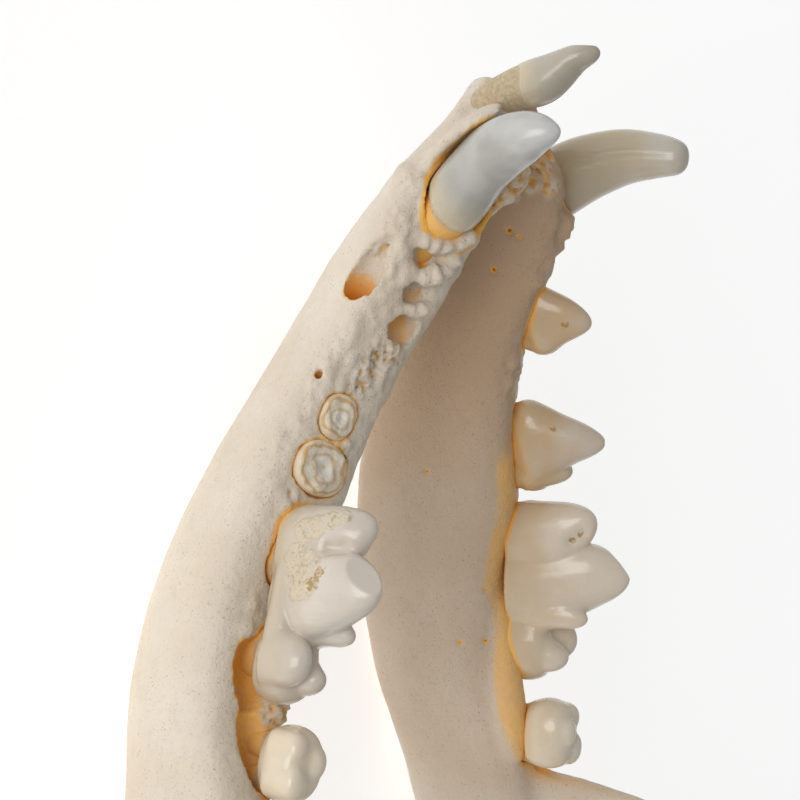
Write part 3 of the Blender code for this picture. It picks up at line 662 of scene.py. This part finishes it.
class Finish:
    """A material of nodes that end in one Principled shader, with patterns in the piece's own metres."""

    def __init__(self, name, colour, sockets):
        self.material = bpy.data.materials.new(name)
        self.material.use_nodes = True
        self.tree = self.material.node_tree
        self.shader = self.tree.nodes["Principled BSDF"]
        for socket, value in sockets.items():
            self.shader.inputs[socket].default_value = value
        self.place = self.add("TexCoord").outputs["Object"]
        self.colour = colour

    def add(self, kind, inputs=(), **settings):
        node = self.tree.nodes.new("ShaderNode" + kind)
        for name, value in settings.items():
            setattr(node, name, value)
        for name, value in dict(inputs).items():
            self.join(value, node.inputs[name])
        return node

    def join(self, value, socket):
        if isinstance(value, bpy.types.NodeSocket):
            self.tree.links.new(value, socket)
        else:
            socket.default_value = value

    def noise(self, per_mm, detail=3, stretch=(1, 1, 1)):
        place = self.add("VectorMath", {0: self.place, 1: stretch}, operation="MULTIPLY").outputs[0]
        inputs = {"Vector": place, "Scale": per_mm * 1000, "Detail": detail}
        return self.add("TexNoise", inputs).outputs["Fac"]

    def cells(self, per_mm):
        return self.add("TexVoronoi", {"Vector": self.place, "Scale": per_mm * 1000}).outputs["Distance"]

    def painted(self, name):
        return self.add("Attribute", attribute_name=name).outputs["Fac"]

    def between(self, value, low, high, bottom=0.0, top=1.0):
        inputs = {"Value": value, "From Min": low, "From Max": high, "To Min": bottom, "To Max": top}
        return self.add("MapRange", inputs, interpolation_type="SMOOTHSTEP").outputs["Result"]

    def times(self, first, second):
        return self.add("Math", {0: first, 1: second}, operation="MULTIPLY", use_clamp=True).outputs[0]

    def plus(self, first, second):
        return self.add("Math", {0: first, 1: second}, operation="ADD").outputs[0]

    def coat(self, share, colour):
        """Lays a colour over what is there, as thickly as the share says."""
        self.colour = self.add("Mix", {0: share, 6: self.colour, 7: colour}, data_type="RGBA").outputs[2]

    def bump(self, height, depth, before=None):
        inputs = {"Height": height, "Distance": depth / 1000}
        if before:
            inputs["Normal"] = before
        return self.add("Bump", inputs).outputs["Normal"]

    def end(self, normal, roughness=None):
        self.join(self.colour, self.shader.inputs["Base Color"])
        self.join(normal, self.shader.inputs["Normal"])
        if roughness:
            self.join(roughness, self.shader.inputs["Roughness"])
        return self.material


def paint(red, green, blue):
    """A colour as a screen shows it, 0 to 255, turned into the shader's linear values."""
    share = np.array((red, green, blue)) / 255
    linear = np.where(share <= 0.04045, share / 12.92, ((share + 0.055) / 1.055) ** 2.4)
    return (*linear.tolist(), 1.0)


CREAM, PALE_CREAM, DULL_CREAM = paint(219, 205, 186), paint(228, 218, 202), paint(206, 189, 167)
TAN_STAIN_SHADE, AMBER = paint(192, 159, 126), paint(238, 190, 120)
# A vivid amber painted as the glow of light through thin bone, and a dark brown painted as the shade deep
# down in holes
AMBER_GLOW, HOLE_SHADE_BROWN = paint(249, 188, 82), paint(186, 120, 46)
DIRT, PORE = paint(132, 118, 100), paint(162, 132, 100)


def dry_bone():
    """Dry bone: cream with pale and dull clouds, a fine grain along the jaw and tiny pores, stained light
    brown
    on the right half's inner face, more towards the front as painted shade, and amber down in the sockets:
    a vivid amber as painted glow of light through the thin bone, then dark brown as painted shade deepest
    down."""
    bone = Finish("dry_bone", CREAM, {
        "Roughness": 0.5, "Subsurface Weight": 0.12, "Subsurface Scale": 0.002,
        "Subsurface Radius": (1.0, 0.55, 0.3), "Specular IOR Level": 0.35,
    })
    clouds, lines, fine = bone.noise(0.1, 3), bone.noise(2.2, 3, (1, 0.22, 1)), bone.noise(6.0, 2)
    rim, tan, amber, hollow = (bone.painted(name) for name in ("rim", "tan", "amber", "hollow"))
    bone.coat(bone.between(clouds, 0.3, 0.75), PALE_CREAM)
    bone.coat(bone.times(bone.between(bone.noise(0.4, 3), 0.45, 0.8), 0.35), DULL_CREAM)
    bone.coat(bone.times(bone.between(lines, 0.35, 0.7), 0.12), DULL_CREAM)
    bone.coat(bone.times(rim, 0.12), DULL_CREAM)
    # The stain on the right half's inner face, laid on thicker towards the front as painted shade where the
    # left half shades it
    bone.coat(bone.times(tan, 0.85), TAN_STAIN_SHADE)
    clumps = bone.between(bone.noise(0.35, 3), 0.48, 0.62)
    specks = bone.times(bone.between(bone.cells(1.9), 0.26, 0.1), clumps)
    bone.coat(bone.times(bone.times(specks, bone.between(rim, 0.2, 0.9)), 0.4), DIRT)
    pores = bone.times(bone.between(bone.cells(1.6), 0.22, 0.1), bone.between(bone.noise(0.5, 3), 0.46, 0.6))
    bone.coat(bone.times(pores, 0.6), PORE)
    soaked = bone.plus(amber, bone.between(fine, 0.3, 0.7, -0.15, 0.15))
    bone.coat(bone.between(soaked, 0.15, 0.6), AMBER)
    deep = bone.plus(hollow, bone.between(bone.noise(0.8, 3), 0.3, 0.7, -0.1, 0.1))
    # Down in holes: amber, a vivid amber painted as glow of light through the thin bone, and dark brown
    # painted as shade at the bottom
    for none, full, tone in ((0.12, 0.45, AMBER), (0.4, 0.75, AMBER_GLOW), (0.7, 1.0, HOLE_SHADE_BROWN)):
        bone.coat(bone.between(deep, none, full), tone)
    normal = bone.bump(bone.between(bone.cells(2.6), 0.25, 0.05), -0.05)
    normal = bone.bump(bone.times(bone.noise(1.1, 4), bone.between(rim, 0.5, 1.0)), 0.2, normal)
    normal = bone.bump(lines, 0.06, normal)
    return bone.end(bone.bump(fine, 0.05, normal))


DRY_BONE = dry_bone()


def cast_bone(side, name):
    """One bone: its forms cast as one skin, with the holes, the sockets and the midline cut out."""
    chin, neck, swell = (
        limb(stations, across, sides, rings, tip=tip) for stations, across, sides, rings, tip in BONE_LIMBS
    )
    forms = [body_rings(), ramus_rings(), chin, condyle_rings(), neck, swell]
    forms += [limb(stations, across) for across, stations in SOCKET_WALLS[side]]
    bone = add_form(name, forms)
    cast(bone, FIRST_VOXEL, FIRST_PASSES)
    holes = [*NERVE_HOLES, *EMPTY_SOCKETS[side]]
    slots = [root_gap_stations(root) for tooth in CHEEK_TEETH[side] for root in root_stations(side, tooth)]
    if side == LEFT:
        slots.append(root_gap_stations(INCISOR_PATH[:3]))
    cuts = [limb(stations, (0, 1, 0.01), sides=20, rings=12, tip=14) for _, stations in holes]
    cuts += [limb(stations, (0.4, 1, 0), sides=20, rings=8, tip=30) for stations in slots]
    cuts.append(limb(canine_gap_stations(side), CANINE_ACROSS, sides=32, rings=20, tip=30))
    midline = ((-60, 0, 0, 100, 100), (MIDLINE_GAP / 2, 0, 0, 100, 100))
    cuts.append(limb(midline, (0, 1, 0), sides=4, rings=2, power=1.0, tip=1e9))
    carve(bone, cuts)
    cast(bone, SKIN_VOXEL, SKIN_PASSES)
    return bone


def socket_glow_shade(side, points):
    """How amber each point is by its place in a hole, in an empty socket or in the canine's gap, for the
    vivid amber painted as glow of light through the thin bone and the dark brown painted as shade deepest
    down. Nerve holes turn amber deeper down than sockets do."""
    hollow = np.zeros(len(points))
    for start, some in ((0.35, NERVE_HOLES), (0.1, EMPTY_SOCKETS[side])):
        for tint, stations in some:
            share, away = along_limb(points, stations)
            hollow = np.maximum(hollow, tint * step(1.25, 1.05, away) * step(start, start + 0.6, share))
    share, away = along_limb(points, canine_gap_stations(side))
    open_part = step(0.0, 0.08, share) * step(1.0, 0.35, share)
    return np.maximum(hollow, GAP_GLOW * open_part * step(1.24, 1.08, away))


def bone_piece(side, name):
    """Makes one bone, works over its skin and marks it for its finish: soft hills, a crumbled edge, the
    pits and struts of spongy bone, then the knobs and pinholes. Its amber runs in the spongy bone and, on
    the right, in a band along the necks of the back teeth. Gives the piece and the points of its skin."""
    bone = cast_bone(side, name)
    points, normals = read(bone.data)
    down, out = crest_depth(points)
    y = points[:, 1]
    in_row = step(-50, -46, y) * step(40, 34, y)
    spongy = near_spots(points, SPONGY[side])
    hollow = socket_glow_shade(side, points)
    rough = smooth(y, ROUGH_EDGE[side])[:, 0] * step(3.2, 0.6, down) * in_row * step(0.6, 0.2, hollow)
    lift = 0.12 * grain(points, 6.0, 1) + 0.05 * grain(points, 2.2, 2) + 0.02 * grain(points, 0.9, 3)
    lift += rough * (0.6 * grain(points, 1.6, 4) + 0.5 * grain(points, 0.8, 5))
    away = pits(points, 0.8, 6)
    cell, strut = step(0.5, 0.2, away) * spongy, step(0.5, 0.7, away) * spongy
    lift += spongy * 0.3 * grain(points, 0.9, 9) - 0.6 * cell + 0.2 * strut
    for *middle, reach, height in KNOBS[side]:
        away = np.linalg.norm(points - middle, axis=1) / reach
        lift += height * np.exp(-(away**2))
        # A pinhole is filled with the dark brown of painted shade
        if height < 0:
            hollow = np.maximum(hollow, step(1.1, 0.4, away))
        else:
            hollow *= step(0.7, 1.5, away)
    points = points + normals * lift[:, None]
    points[:, 0] = np.maximum(points[:, 0], MIDLINE_GAP / 2)
    y = points[:, 1]
    tan = 0
    amber = np.maximum(0.7 * cell, smooth(y, SPONGY_WASH)[:, 0] * spongy * (1 - strut))
    if side == RIGHT:
        # The right half's inner face: a real stain, laid on more strongly towards the front as painted shade,
        # where the left half shades it
        tan = step(1.0, -3.0, out) * (0.35 + 0.65 * step(22, -24, y)) * in_row * (1 - spongy)
        lower = down + 1.6 * step(10, 17, y)
        necks = step(2.9, 1.2, lower) * step(2, -1, out) * step(-9, -3, y) * step(37, 33, y)
        amber = np.maximum(amber, necks * (0.52 + 0.14 * grain(points, 2.4, 10)))
        points[:, 2] -= RIGHT_CHIN_DROP * step(-37, -45, y) * step(0, 8, points[:, 2])
    mark(bone.data, rim=step(4.5, 0.5, down) * in_row, tan=tan, amber=amber, hollow=hollow)
    place_piece(bone, side, points)
    return bone, points


# Each side's bone and the points of its skin
SKIN = {}
for side, node in ((LEFT, "mandible_left"), (RIGHT, "mandible_right")):
    SKIN[side] = bone_piece(side, node.replace("mandible", "jaw_bone"))
    bone, _ = SKIN[side]
    finish_piece(bone, DRY_BONE)
    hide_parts(node)


# The canines
# The two long, curved corner teeth. Each crown is smooth enamel down to a thin crackled line, with a
# bare band of root below it, and stands loose in a socket that has opened round it as the bone dried.

ENAMEL_LINE = {LEFT: 0.382, RIGHT: 0.3}
CANINE_TIP = {LEFT: 14, RIGHT: 40}
AMBER_REACH = {LEFT: 0.9, RIGHT: 1.2}
ROOT_CREAM, ROOT_BROWN = paint(206, 190, 160), paint(172, 148, 108)
TARTAR_PALE, TARTAR_DARK, OLD_STAIN = paint(224, 209, 180), paint(160, 138, 104), paint(168, 128, 48)


def gap_to(points, others, reach=1.5, batch=400):
    """Distance from each point to the nearest of the others, or reach where that is farther."""
    gap = np.full(len(points), reach)
    low, high = others.min(axis=0) - reach, others.max(axis=0) + reach
    inside = np.flatnonzero(((points > low) & (points < high)).all(axis=1))
    for some in np.array_split(inside, len(inside) // batch + 1):
        apart = ((points[some, None] - others[None]) ** 2).sum(axis=2).min(axis=1) if len(some) else 0
        gap[some] = np.minimum(reach, np.sqrt(apart))
    return gap


def seam_with_bone(side, points, rise, tight=1.0):
    """How near the points of a tooth are to its bone, from 1 where they touch to 0, looked for from 3 mm
    under its enamel's edge to 4 mm over it. The bone beside the tooth is marked amber in the same way,
    over the side's reach times `tight`."""
    bone, skin = SKIN[side]
    near = np.flatnonzero((rise > -3) & (rise < 4))
    collar = points[near]
    low, high = collar.min(axis=0) - 1.5, collar.max(axis=0) + 1.5
    beside = skin[((skin > low) & (skin < high)).all(axis=1)]
    seam = np.zeros(len(points))
    seam[near] = step(0.8, 0.3, gap_to(collar, beside))
    amber = np.empty(len(skin), np.float32)
    layer = bone.data.attributes["amber"].data
    layer.foreach_get("value", amber)
    amber_reach = AMBER_REACH[side] * tight
    stained = 0.7 * step(amber_reach, 0.4 * amber_reach, gap_to(skin, collar[::2]))
    layer.foreach_set("value", np.maximum(amber, stained).astype(np.float32))
    return seam


def enamel(name, white, grey):
    """Tooth enamel: smooth and glossy, clouded from white to grey, with fine upright lines, ivory to
    amber towards the root, the amber by the bone partly stain and partly painted shade and glow of the
    gap, brown where tartar or wear has stained it, and bare matt root below."""
    tooth = Finish(name, grey, {
        "Subsurface Weight": 0.15, "Subsurface Scale": 0.0015, "Subsurface Radius": (1.0, 0.7, 0.45),
        "Coat Weight": 0.35, "Coat Roughness": 0.12,
    })
    root, neck, tartar, stain, seam, tip = (
        tooth.painted(part) for part in ("root", "neck", "tartar", "stain", "seam", "tip")
    )
    lines, fine = tooth.noise(1.6, 3, (1, 1, 0.2)), tooth.noise(5.0, 3)
    paler = tooth.plus(tooth.times(tip, 0.7), tooth.between(tooth.noise(0.2, 2), 0.3, 0.7, -0.15, 0.3))
    tooth.coat(tooth.between(paler, 0.0, 0.9), white)
    tooth.coat(tooth.times(tooth.between(lines, 0.5, 0.8), 0.15), grey)
    tooth.coat(tooth.times(neck, 0.8), ROOT_CREAM)
    crust = tooth.times(tartar, tooth.between(tooth.noise(0.9, 4), 0.3, 0.5))
    tooth.coat(tooth.times(crust, 0.7), TARTAR_PALE)
    dark = tooth.times(crust, tooth.between(tooth.noise(2.4, 3), 0.54, 0.68))
    tooth.coat(tooth.times(dark, 0.6), TARTAR_DARK)
    worn = tooth.plus(stain, tooth.between(tooth.noise(2.2, 4), 0.35, 0.65, -0.8, 0.1))
    tooth.coat(tooth.between(worn, 0.0, 0.7, 0.0, 0.8), OLD_STAIN)
    tooth.coat(tooth.between(root, 0.4, 0.6), ROOT_CREAM)
    grimy = tooth.times(tooth.between(root, 0.55, 1.0), tooth.between(tooth.noise(2.4, 4), 0.1, 0.8))
    tooth.coat(tooth.times(grimy, 0.9), ROOT_BROWN)
    # Amber where the tooth meets its bone: partly stain, partly painted shade and glow of the gap round it
    tooth.coat(tooth.between(seam, 0.1, 1.0, 0.0, 0.85), AMBER)
    tooth.coat(tooth.between(seam, 0.8, 1.0, 0.0, 0.6), AMBER_GLOW)
    crusty = tooth.between(crust, 0.3, 0.7, 0.0, 0.25)
    roughness = tooth.plus(tooth.between(root, 0.3, 0.6, 0.24, 0.5), crusty)
    normal = tooth.bump(tooth.times(crust, fine), 0.14, tooth.bump(lines, 0.05))
    return tooth.end(normal, roughness)


ENAMELS = {
    tone: enamel(f"{tone}_enamel", paint(*white), paint(*grey)) for tone, white, grey in (
        ("white", (210, 210, 208), (170, 168, 158)),
        ("grey", (202, 196, 184), (182, 173, 156)),
        ("cream", (217, 207, 194), (202, 188, 168)),
        ("dull", (200, 194, 182), (198, 182, 152)),
        ("ivory", (212, 203, 189), (208, 179, 142)),
        ("pale", (228, 216, 198), (218, 197, 168)),
        # Enamel painted lighter, as painted light, for the second molars
        ("painted_light", (236, 228, 212), (230, 214, 188)),
    )
}

for side, name in ((LEFT, "canine_left"), (RIGHT, "canine_right")):
    stations = CANINE_PATH[side]
    rings = limb(stations, CANINE_ACROSS, sides=72, rings=110, power=2.15, tip=CANINE_TIP[side])
    canine = add_form(name, [rings])
    points, normals = read(canine.data)
    share, _ = along_limb(points, stations, samples=120)
    line = ENAMEL_LINE[side] + 0.012 * grain(points, 3.0, 21)
    lift = 0.05 * grain(points, 4.0, 22) - 0.4 * step(line + 0.012, line - 0.02, share)
    seam_with_bone(side, points, (share - 0.52) * 20)
    # Below the enamel line the root is marked amber, partly stain and partly painted shade and glow of the
    # gap round it
    mark(canine.data, root=step(line + 0.01, line - 0.01, share), neck=step(line + 0.12, line, share),
         tartar=step(line + 0.02, line, share) * 0.5, stain=0,
         seam=step(line + 0.01, line - 0.03, share), tip=step(0.5, 1.0, share))
    place_piece(canine, side, points + normals * lift[:, None])
    finish_piece(canine, ENAMELS["white" if side == LEFT else "dull"])


# The left corner incisor
# The only incisor left: a grey-white spoon-shaped crown with a worn tip on a bare, speckled root that
# the bone clasps.

incisor = add_form("incisor_left", [limb(INCISOR_PATH, (1, 0, 0), sides=56, rings=90, tip=12)])
points, normals = read(incisor.data)
share, _ = along_limb(points, INCISOR_PATH, samples=120)
line = 0.52 + 0.02 * grain(points, 2.5, 31)
lift = 0.06 * grain(points, 2.5, 32) + 0.1 * step(line - 0.01, line + 0.01, share)
mark(incisor.data, root=step(line + 0.01, line - 0.01, share), neck=step(line + 0.12, line, share),
     tartar=step(0.5, 0.3, share) * 0.6, stain=0.7 * near_spots(points, ((7.6, -50.6, 18.6, 0.7),)),
     seam=0.4 * seam_with_bone(LEFT, points, (share - 0.4) * 20, 0.3), tip=0)
place_piece(incisor, LEFT, points + normals * lift[:, None])
finish_piece(incisor, ENAMELS["grey"])


# The broken roots of the left fourth premolar
# Its crown is gone. The two roots are snapped off level with the bone and show rings of dentine and
# amber cement round a dark pulp canal.

STUMP_VOXEL, STUMP_PASSES = 0.2, 4
# The rings, from the middle outwards: where each starts and is full, in root radii, and its colour
RING_TONES = (
    (0.02, 0.2, (234, 226, 212)), (0.34, 0.46, (214, 190, 156)), (0.46, 0.6, (232, 220, 200)),
    (0.72, 0.82, (212, 178, 128)), (0.86, 0.96, (230, 212, 184)),
)


def broken_dentine():
    """Snapped root: dull rings of cream dentine and amber, darker towards the canal in the middle."""
    sockets = {"Roughness": 0.6, "Subsurface Weight": 0.1, "Subsurface Scale": 0.0015}
    root = Finish("broken_dentine", paint(202, 182, 156), sockets)
    wavy = root.plus(root.painted("ring"), root.between(root.noise(0.45, 1), 0.3, 0.7, -0.12, 0.12))
    for start, full, tone in RING_TONES:
        root.coat(root.between(wavy, start, full), paint(*tone))
    return root.end(root.bump(root.plus(wavy, root.noise(3.0, 3)), 0.12))


BROKEN_DENTINE = broken_dentine()
for number, stations in enumerate(root_stations(LEFT, "broken_roots"), start=1):
    name = f"broken_root_{number}"
    rings = limb(stations, seat_axes("broken_roots")[1], sides=48, rings=30, tip=30)
    stump = add_form(name, [rings])
    cast(stump, STUMP_VOXEL, STUMP_PASSES)
    points, normals = read(stump.data)
    middle, up = stations[-1, :3], seat_axes("broken_roots")[3]
    rise = (points - middle) @ up
    ring = np.linalg.norm(points - middle - rise[:, None] * up, axis=1) / stations[-1, 3:].mean()
    seam_with_bone(LEFT, points, rise, 0.6)
    ragged = 0.3 * grain(points, 1.4, 40 + number) + 0.15 * grain(points, 0.6, 50)
    ragged -= 0.3 * step(0.3, 0.1, ring)
    mark(stump.data, ring=np.where(rise > -0.9, ring, 1.0))
    place_piece(stump, LEFT, points + up * (step(-0.8, -0.2, rise) * ragged)[:, None])
    finish_piece(stump, BROKEN_DENTINE)


# The cheek teeth
# On the right a second and a fourth premolar, and on both sides the big shearing carnassial and the
# low second molar behind it. Enamel crowns on two roots each, held in the bone by an amber neck.

# Each cusp is a limb of stations (back, out, up, half width, half depth) from the tooth's seat
CROWNS = {
    "second_premolar": (
        ((0.3, 0, -1.2, 4.0, 1.7), (0.3, 0, 1.2, 4.4, 2.1), (0.3, 0, 3.9, 3.0, 1.8), (0.8, 0, 7.3, 1.4, 1.0)),
        ((2.6, 0, 0.0, 1.6, 1.6), (3.0, 0, 2.4, 0.9, 0.9)),
    ),
    "fourth_premolar": (
        ((-0.4, 0, -0.5, 5.2, 2.4), (-0.4, 0, 2.2, 5.3, 2.8), (-0.5, 0, 6.0, 3.1, 2.2),
         (-0.3, 0, 10.6, 1.4, 1.1)),
        ((3.0, 0, 0.5, 2.6, 2.2), (3.3, 0, 3.8, 1.7, 1.6), (3.5, 0, 6.0, 0.8, 0.8)),
        ((4.3, 0, 0.3, 1.5, 1.9), (4.9, 0, 2.8, 0.8, 0.9)),
    ),
    "carnassial": (
        ((-6.4, -1.0, -0.8, 4.4, 2.9), (-6.8, -1.0, 2.8, 4.7, 3.1), (-8.5, -1.3, 6.8, 3.3, 2.4),
         (-10.0, -1.8, 10.2, 1.9, 1.2)),
        ((-1.4, -1.4, -0.8, 5.2, 2.8), (-1.4, -1.2, 3.0, 5.4, 3.0), (-2.4, -0.4, 8.6, 4.3, 2.9),
         (-2.5, -0.3, 14.0, 2.4, 1.5)),
        ((1.8, -1.2, 0, 2.6, 2.4), (2.2, -2.0, 5.0, 2.3, 1.9), (2.5, -2.6, 9.4, 1.1, 1.0)),
        ((6.4, -1.3, -0.8, 4.2, 2.9), (6.5, -1.1, 1.8, 4.4, 3.1), (6.6, -0.7, 4.5, 3.7, 3.0)),
        ((6.2, 0.6, 0.5, 3.2, 2.0), (6.2, 0.8, 4.0, 2.9, 2.0), (6.2, 0.9, 6.8, 1.7, 1.2)),
        ((6.8, -2.1, 0.5, 2.8, 1.6), (7.2, -2.0, 4.6, 2.3, 1.6), (7.4, -2.0, 6.9, 1.3, 1.1)),
    ),
    "second_molar": (
        ((0, -0.5, -0.6, 3.7, 2.7), (0, -0.5, 1.6, 4.3, 3.1), (0, -0.4, 4.9, 3.8, 2.9)),
        ((-1.8, 0.9, 0.5, 2.0, 1.6), (-1.8, 0.9, 3.6, 1.8, 1.4), (-1.8, 0.9, 4.9, 1.1, 0.9)),
        ((-0.6, -1.5, 0.5, 2.5, 1.6), (-0.5, -1.5, 3.6, 2.2, 1.5), (-0.4, -1.5, 5.5, 1.4, 1.1)),
        ((1.8, 0.8, 0.5, 2.1, 1.8), (1.9, 0.8, 4.0, 2.0, 1.6), (2.0, 0.8, 5.3, 1.3, 1.1)),
    ),
}
# The swollen rim along the outer foot of the carnassial's crown
CROWN_FOOT = ((-9.0, -0.2, 0.6, 1.2, 1.2), (-4.5, 0.5, 0.8, 1.4, 1.4), (0.0, 0.6, 1.2, 1.6, 1.5),
              (4.5, 0.8, 1.4, 1.8, 1.5), (8.0, 0.2, 0.8, 1.3, 1.2))
# The second molars take the lightest enamel as painted light, lighter than the teeth beside them
ENAMEL_OF = {
    (LEFT, "carnassial"): "cream", (LEFT, "second_molar"): "painted_light",
    (RIGHT, "second_premolar"): "ivory", (RIGHT, "fourth_premolar"): "ivory",
    (RIGHT, "carnassial"): "pale", (RIGHT, "second_molar"): "painted_light",
}
CROWN_VOXEL, CROWN_PASSES = 0.22, 12
# How much higher the right second molar stands
RIGHT_MOLAR_RISE = 0.9
# Height of the enamel's lower edge over the seat
CROWN_EDGE = {"second_premolar": 0.3, "fourth_premolar": 0.5, "carnassial": -1.2, "second_molar": -1.0}
# How high the ivory of the necks reaches over that edge
NECK_REACH = {"second_premolar": 4.0, "fourth_premolar": 4.0, "carnassial": 4.0, "second_molar": 2.2}
# Tartar and stains, from the seat: back, out, up, reach
TARTAR = {
    (LEFT, "carnassial"): ((-4.8, 2.2, 2.7, 2.2), (-2.8, 2.2, 3.4, 2.0), (-1.2, 2.2, 4.2, 1.8),
                           (-4.6, 2.0, 5.2, 2.0), (-2.4, 2.2, 5.6, 2.0), (-8.2, 2.0, 3.5, 1.8),
                           (-8.7, 1.6, 4.9, 1.8), (-9.7, 1.2, 6.3, 1.6), (-10.2, 0.6, 7.4, 1.4)),
}
STAINS = {
    (LEFT, "carnassial"): ((-3.5, 2.2, 7.2, 1.2), (-2.4, 2.4, 6.6, 1.3)),
    (RIGHT, "carnassial"): ((-7.4, -3.2, 7.7, 0.7), (-8.1, -2.9, 8.8, 0.6)),
    (RIGHT, "fourth_premolar"): ((-3.1, -2.0, 4.9, 0.6),),
    (RIGHT, "second_premolar"): ((0.2, -1.6, 4.6, 0.7),),
}
# Hollows and slits pressed into the crowns, and flats worn on them: back, out, up, then reach and
# depth, or the direction that the flat faces
DENTS = {
    "carnassial": ((-7.4, -3.0, 7.7, 0.8, 0.6), (-8.2, -2.7, 8.9, 0.8, 0.6), (5.6, -2.4, 6.0, 1.9, 0.9),
                   (-6.6, 1.4, 6.8, 0.9, 0.5), (-6.7, 0.6, 8.0, 1.0, 0.6)),
    "second_molar": ((0.2, -0.2, 5.0, 1.3, 0.35),),
}
# How amber the necks are, and the heights over the enamel's edge where that is none and full
AMBER_NECK = {LEFT: (0.9, -0.5, -1.6), RIGHT: (0.6, 2.6, 0.2)}
FLATS = {
    "carnassial": ((-4.2, 0.9, 11.6, -0.5, 0.6, 0.62), (-2.5, -0.3, 14.2, 0.1, 0.2, 0.97)),
    "fourth_premolar": ((-0.5, 0, 10.5, 0.1, 0, 0.99),),
}


def cheek_tooth(side, tooth):
    """Casts a crown and its roots as one skin and marks root, neck, tartar and stains by their place."""
    middle, back, out, up = seat_axes(tooth)
    parts = [*root_stations(side, tooth), *(seated(tooth, cusp) for cusp in CROWNS[tooth])]
    if side == RIGHT and tooth == "second_molar":
        middle = middle + RIGHT_MOLAR_RISE * up
        for stations in parts:
            stations[:, :3] += RIGHT_MOLAR_RISE * up
    limbs = [limb(stations, back, sides=32, rings=20) for stations in parts]
    if tooth == "carnassial":
        limbs.append(limb(seated(tooth, CROWN_FOOT), up, sides=24, rings=30))
    name = f"{tooth}_{'left' if side == LEFT else 'right'}"
    piece = add_form(name, limbs)
    cast(piece, CROWN_VOXEL, CROWN_PASSES)
    points, normals = read(piece.data)
    local = (points - middle) @ np.array([back, out, up]).T
    rise = local[:, 2] - CROWN_EDGE[tooth] + 0.4 * grain(points, 2.5, 61)
    ragged = 0.5 * grain(points, 1.6, 64) + 0.3 * grain(points, 0.7, 65)
    crust = near_spots(local, TARTAR.get((side, tooth), ()))
    tartar = step(0.3, 0.5, crust + ragged - 0.1) * (crust > 0)
    lift = 0.05 * grain(points, 2.5, 62) + 0.12 * step(-0.3, 0.3, rise)
    lift += tartar * (0.08 + 0.06 * grain(points, 0.8, 63))
    for *spot, reach, depth in DENTS.get(tooth, ()):
        lift -= depth * np.exp(-((np.linalg.norm(local - spot, axis=1) / reach) ** 2))
    points = points + normals * lift[:, None]
    for flat in FLATS.get(tooth, ()):
        spot, facing = np.array([flat[:3], flat[3:]]) @ np.array([back, out, up])
        proud = np.maximum((points - middle - spot) @ facing, 0)
        nearby = step(5.0, 3.0, np.linalg.norm(local - flat[:3], axis=1))
        points -= (proud * nearby)[:, None] * facing
    amber, above, below = AMBER_NECK[side]
    seam = np.maximum(seam_with_bone(side, points, rise), amber * step(above, below, rise))
    mark(piece.data, root=step(0.3, -0.3, rise), neck=step(NECK_REACH[tooth], 0.2, rise), tartar=tartar,
         stain=near_spots(local, STAINS.get((side, tooth), ())), seam=seam, tip=step(3, 9, rise))
    place_piece(piece, side, points)
    finish_piece(piece, ENAMELS[ENAMEL_OF[side, tooth]])


for side in (LEFT, RIGHT):
    for tooth in CHEEK_TEETH[side]:
        if tooth in CROWNS:
            cheek_tooth(side, tooth)


# The table and the light
# A plain white table top under one broad soft light over the camera's side, and an even pale
# surround that fills the shadows.

FLOOR_HALF, FLOOR_GLOW, SURROUND_GLOW = 3.0, 0.54, 0.38
LIGHT_PLACE, LIGHT_SIZE, LIGHT_POWER = (0.9, -0.1, 0.2), 0.5, 3.0

white = Finish("matt_white", paint(250, 250, 250), {
    "Roughness": 0.9, "Specular IOR Level": 0.1,
    "Emission Color": (1, 1, 1, 1), "Emission Strength": FLOOR_GLOW,
})
x, y = np.meshgrid([-FLOOR_HALF, FLOOR_HALF], [-FLOOR_HALF, FLOOR_HALF])
floor_mesh = bpy.data.meshes.new("table_top")
floor_mesh.from_pydata(np.stack([x, y, 0 * x], axis=-1).reshape(-1, 3).tolist(), [], [(0, 1, 3, 2)])
floor_mesh.materials.append(white.end(white.bump(white.noise(0.4, 2), 0.01)))
add_object(floor_mesh, "table_top")

world = bpy.data.worlds.new("pale_surround")
world.use_nodes = True
world.node_tree.nodes["Background"].inputs["Color"].default_value = (1, 1, 1, 1)
world.node_tree.nodes["Background"].inputs["Strength"].default_value = SURROUND_GLOW
bpy.context.scene.world = world
bpy.context.scene.view_settings.view_transform = "Standard"

light = bpy.data.lights.new("key_light", "AREA")
light.size, light.energy = LIGHT_SIZE, LIGHT_POWER
lamp = add_object(light, "key_light")
turn = Vector(LIGHT_PLACE).to_track_quat("Z", "Y")
lamp.matrix_world = Matrix.Translation(LIGHT_PLACE) @ turn.to_matrix().to_4x4()
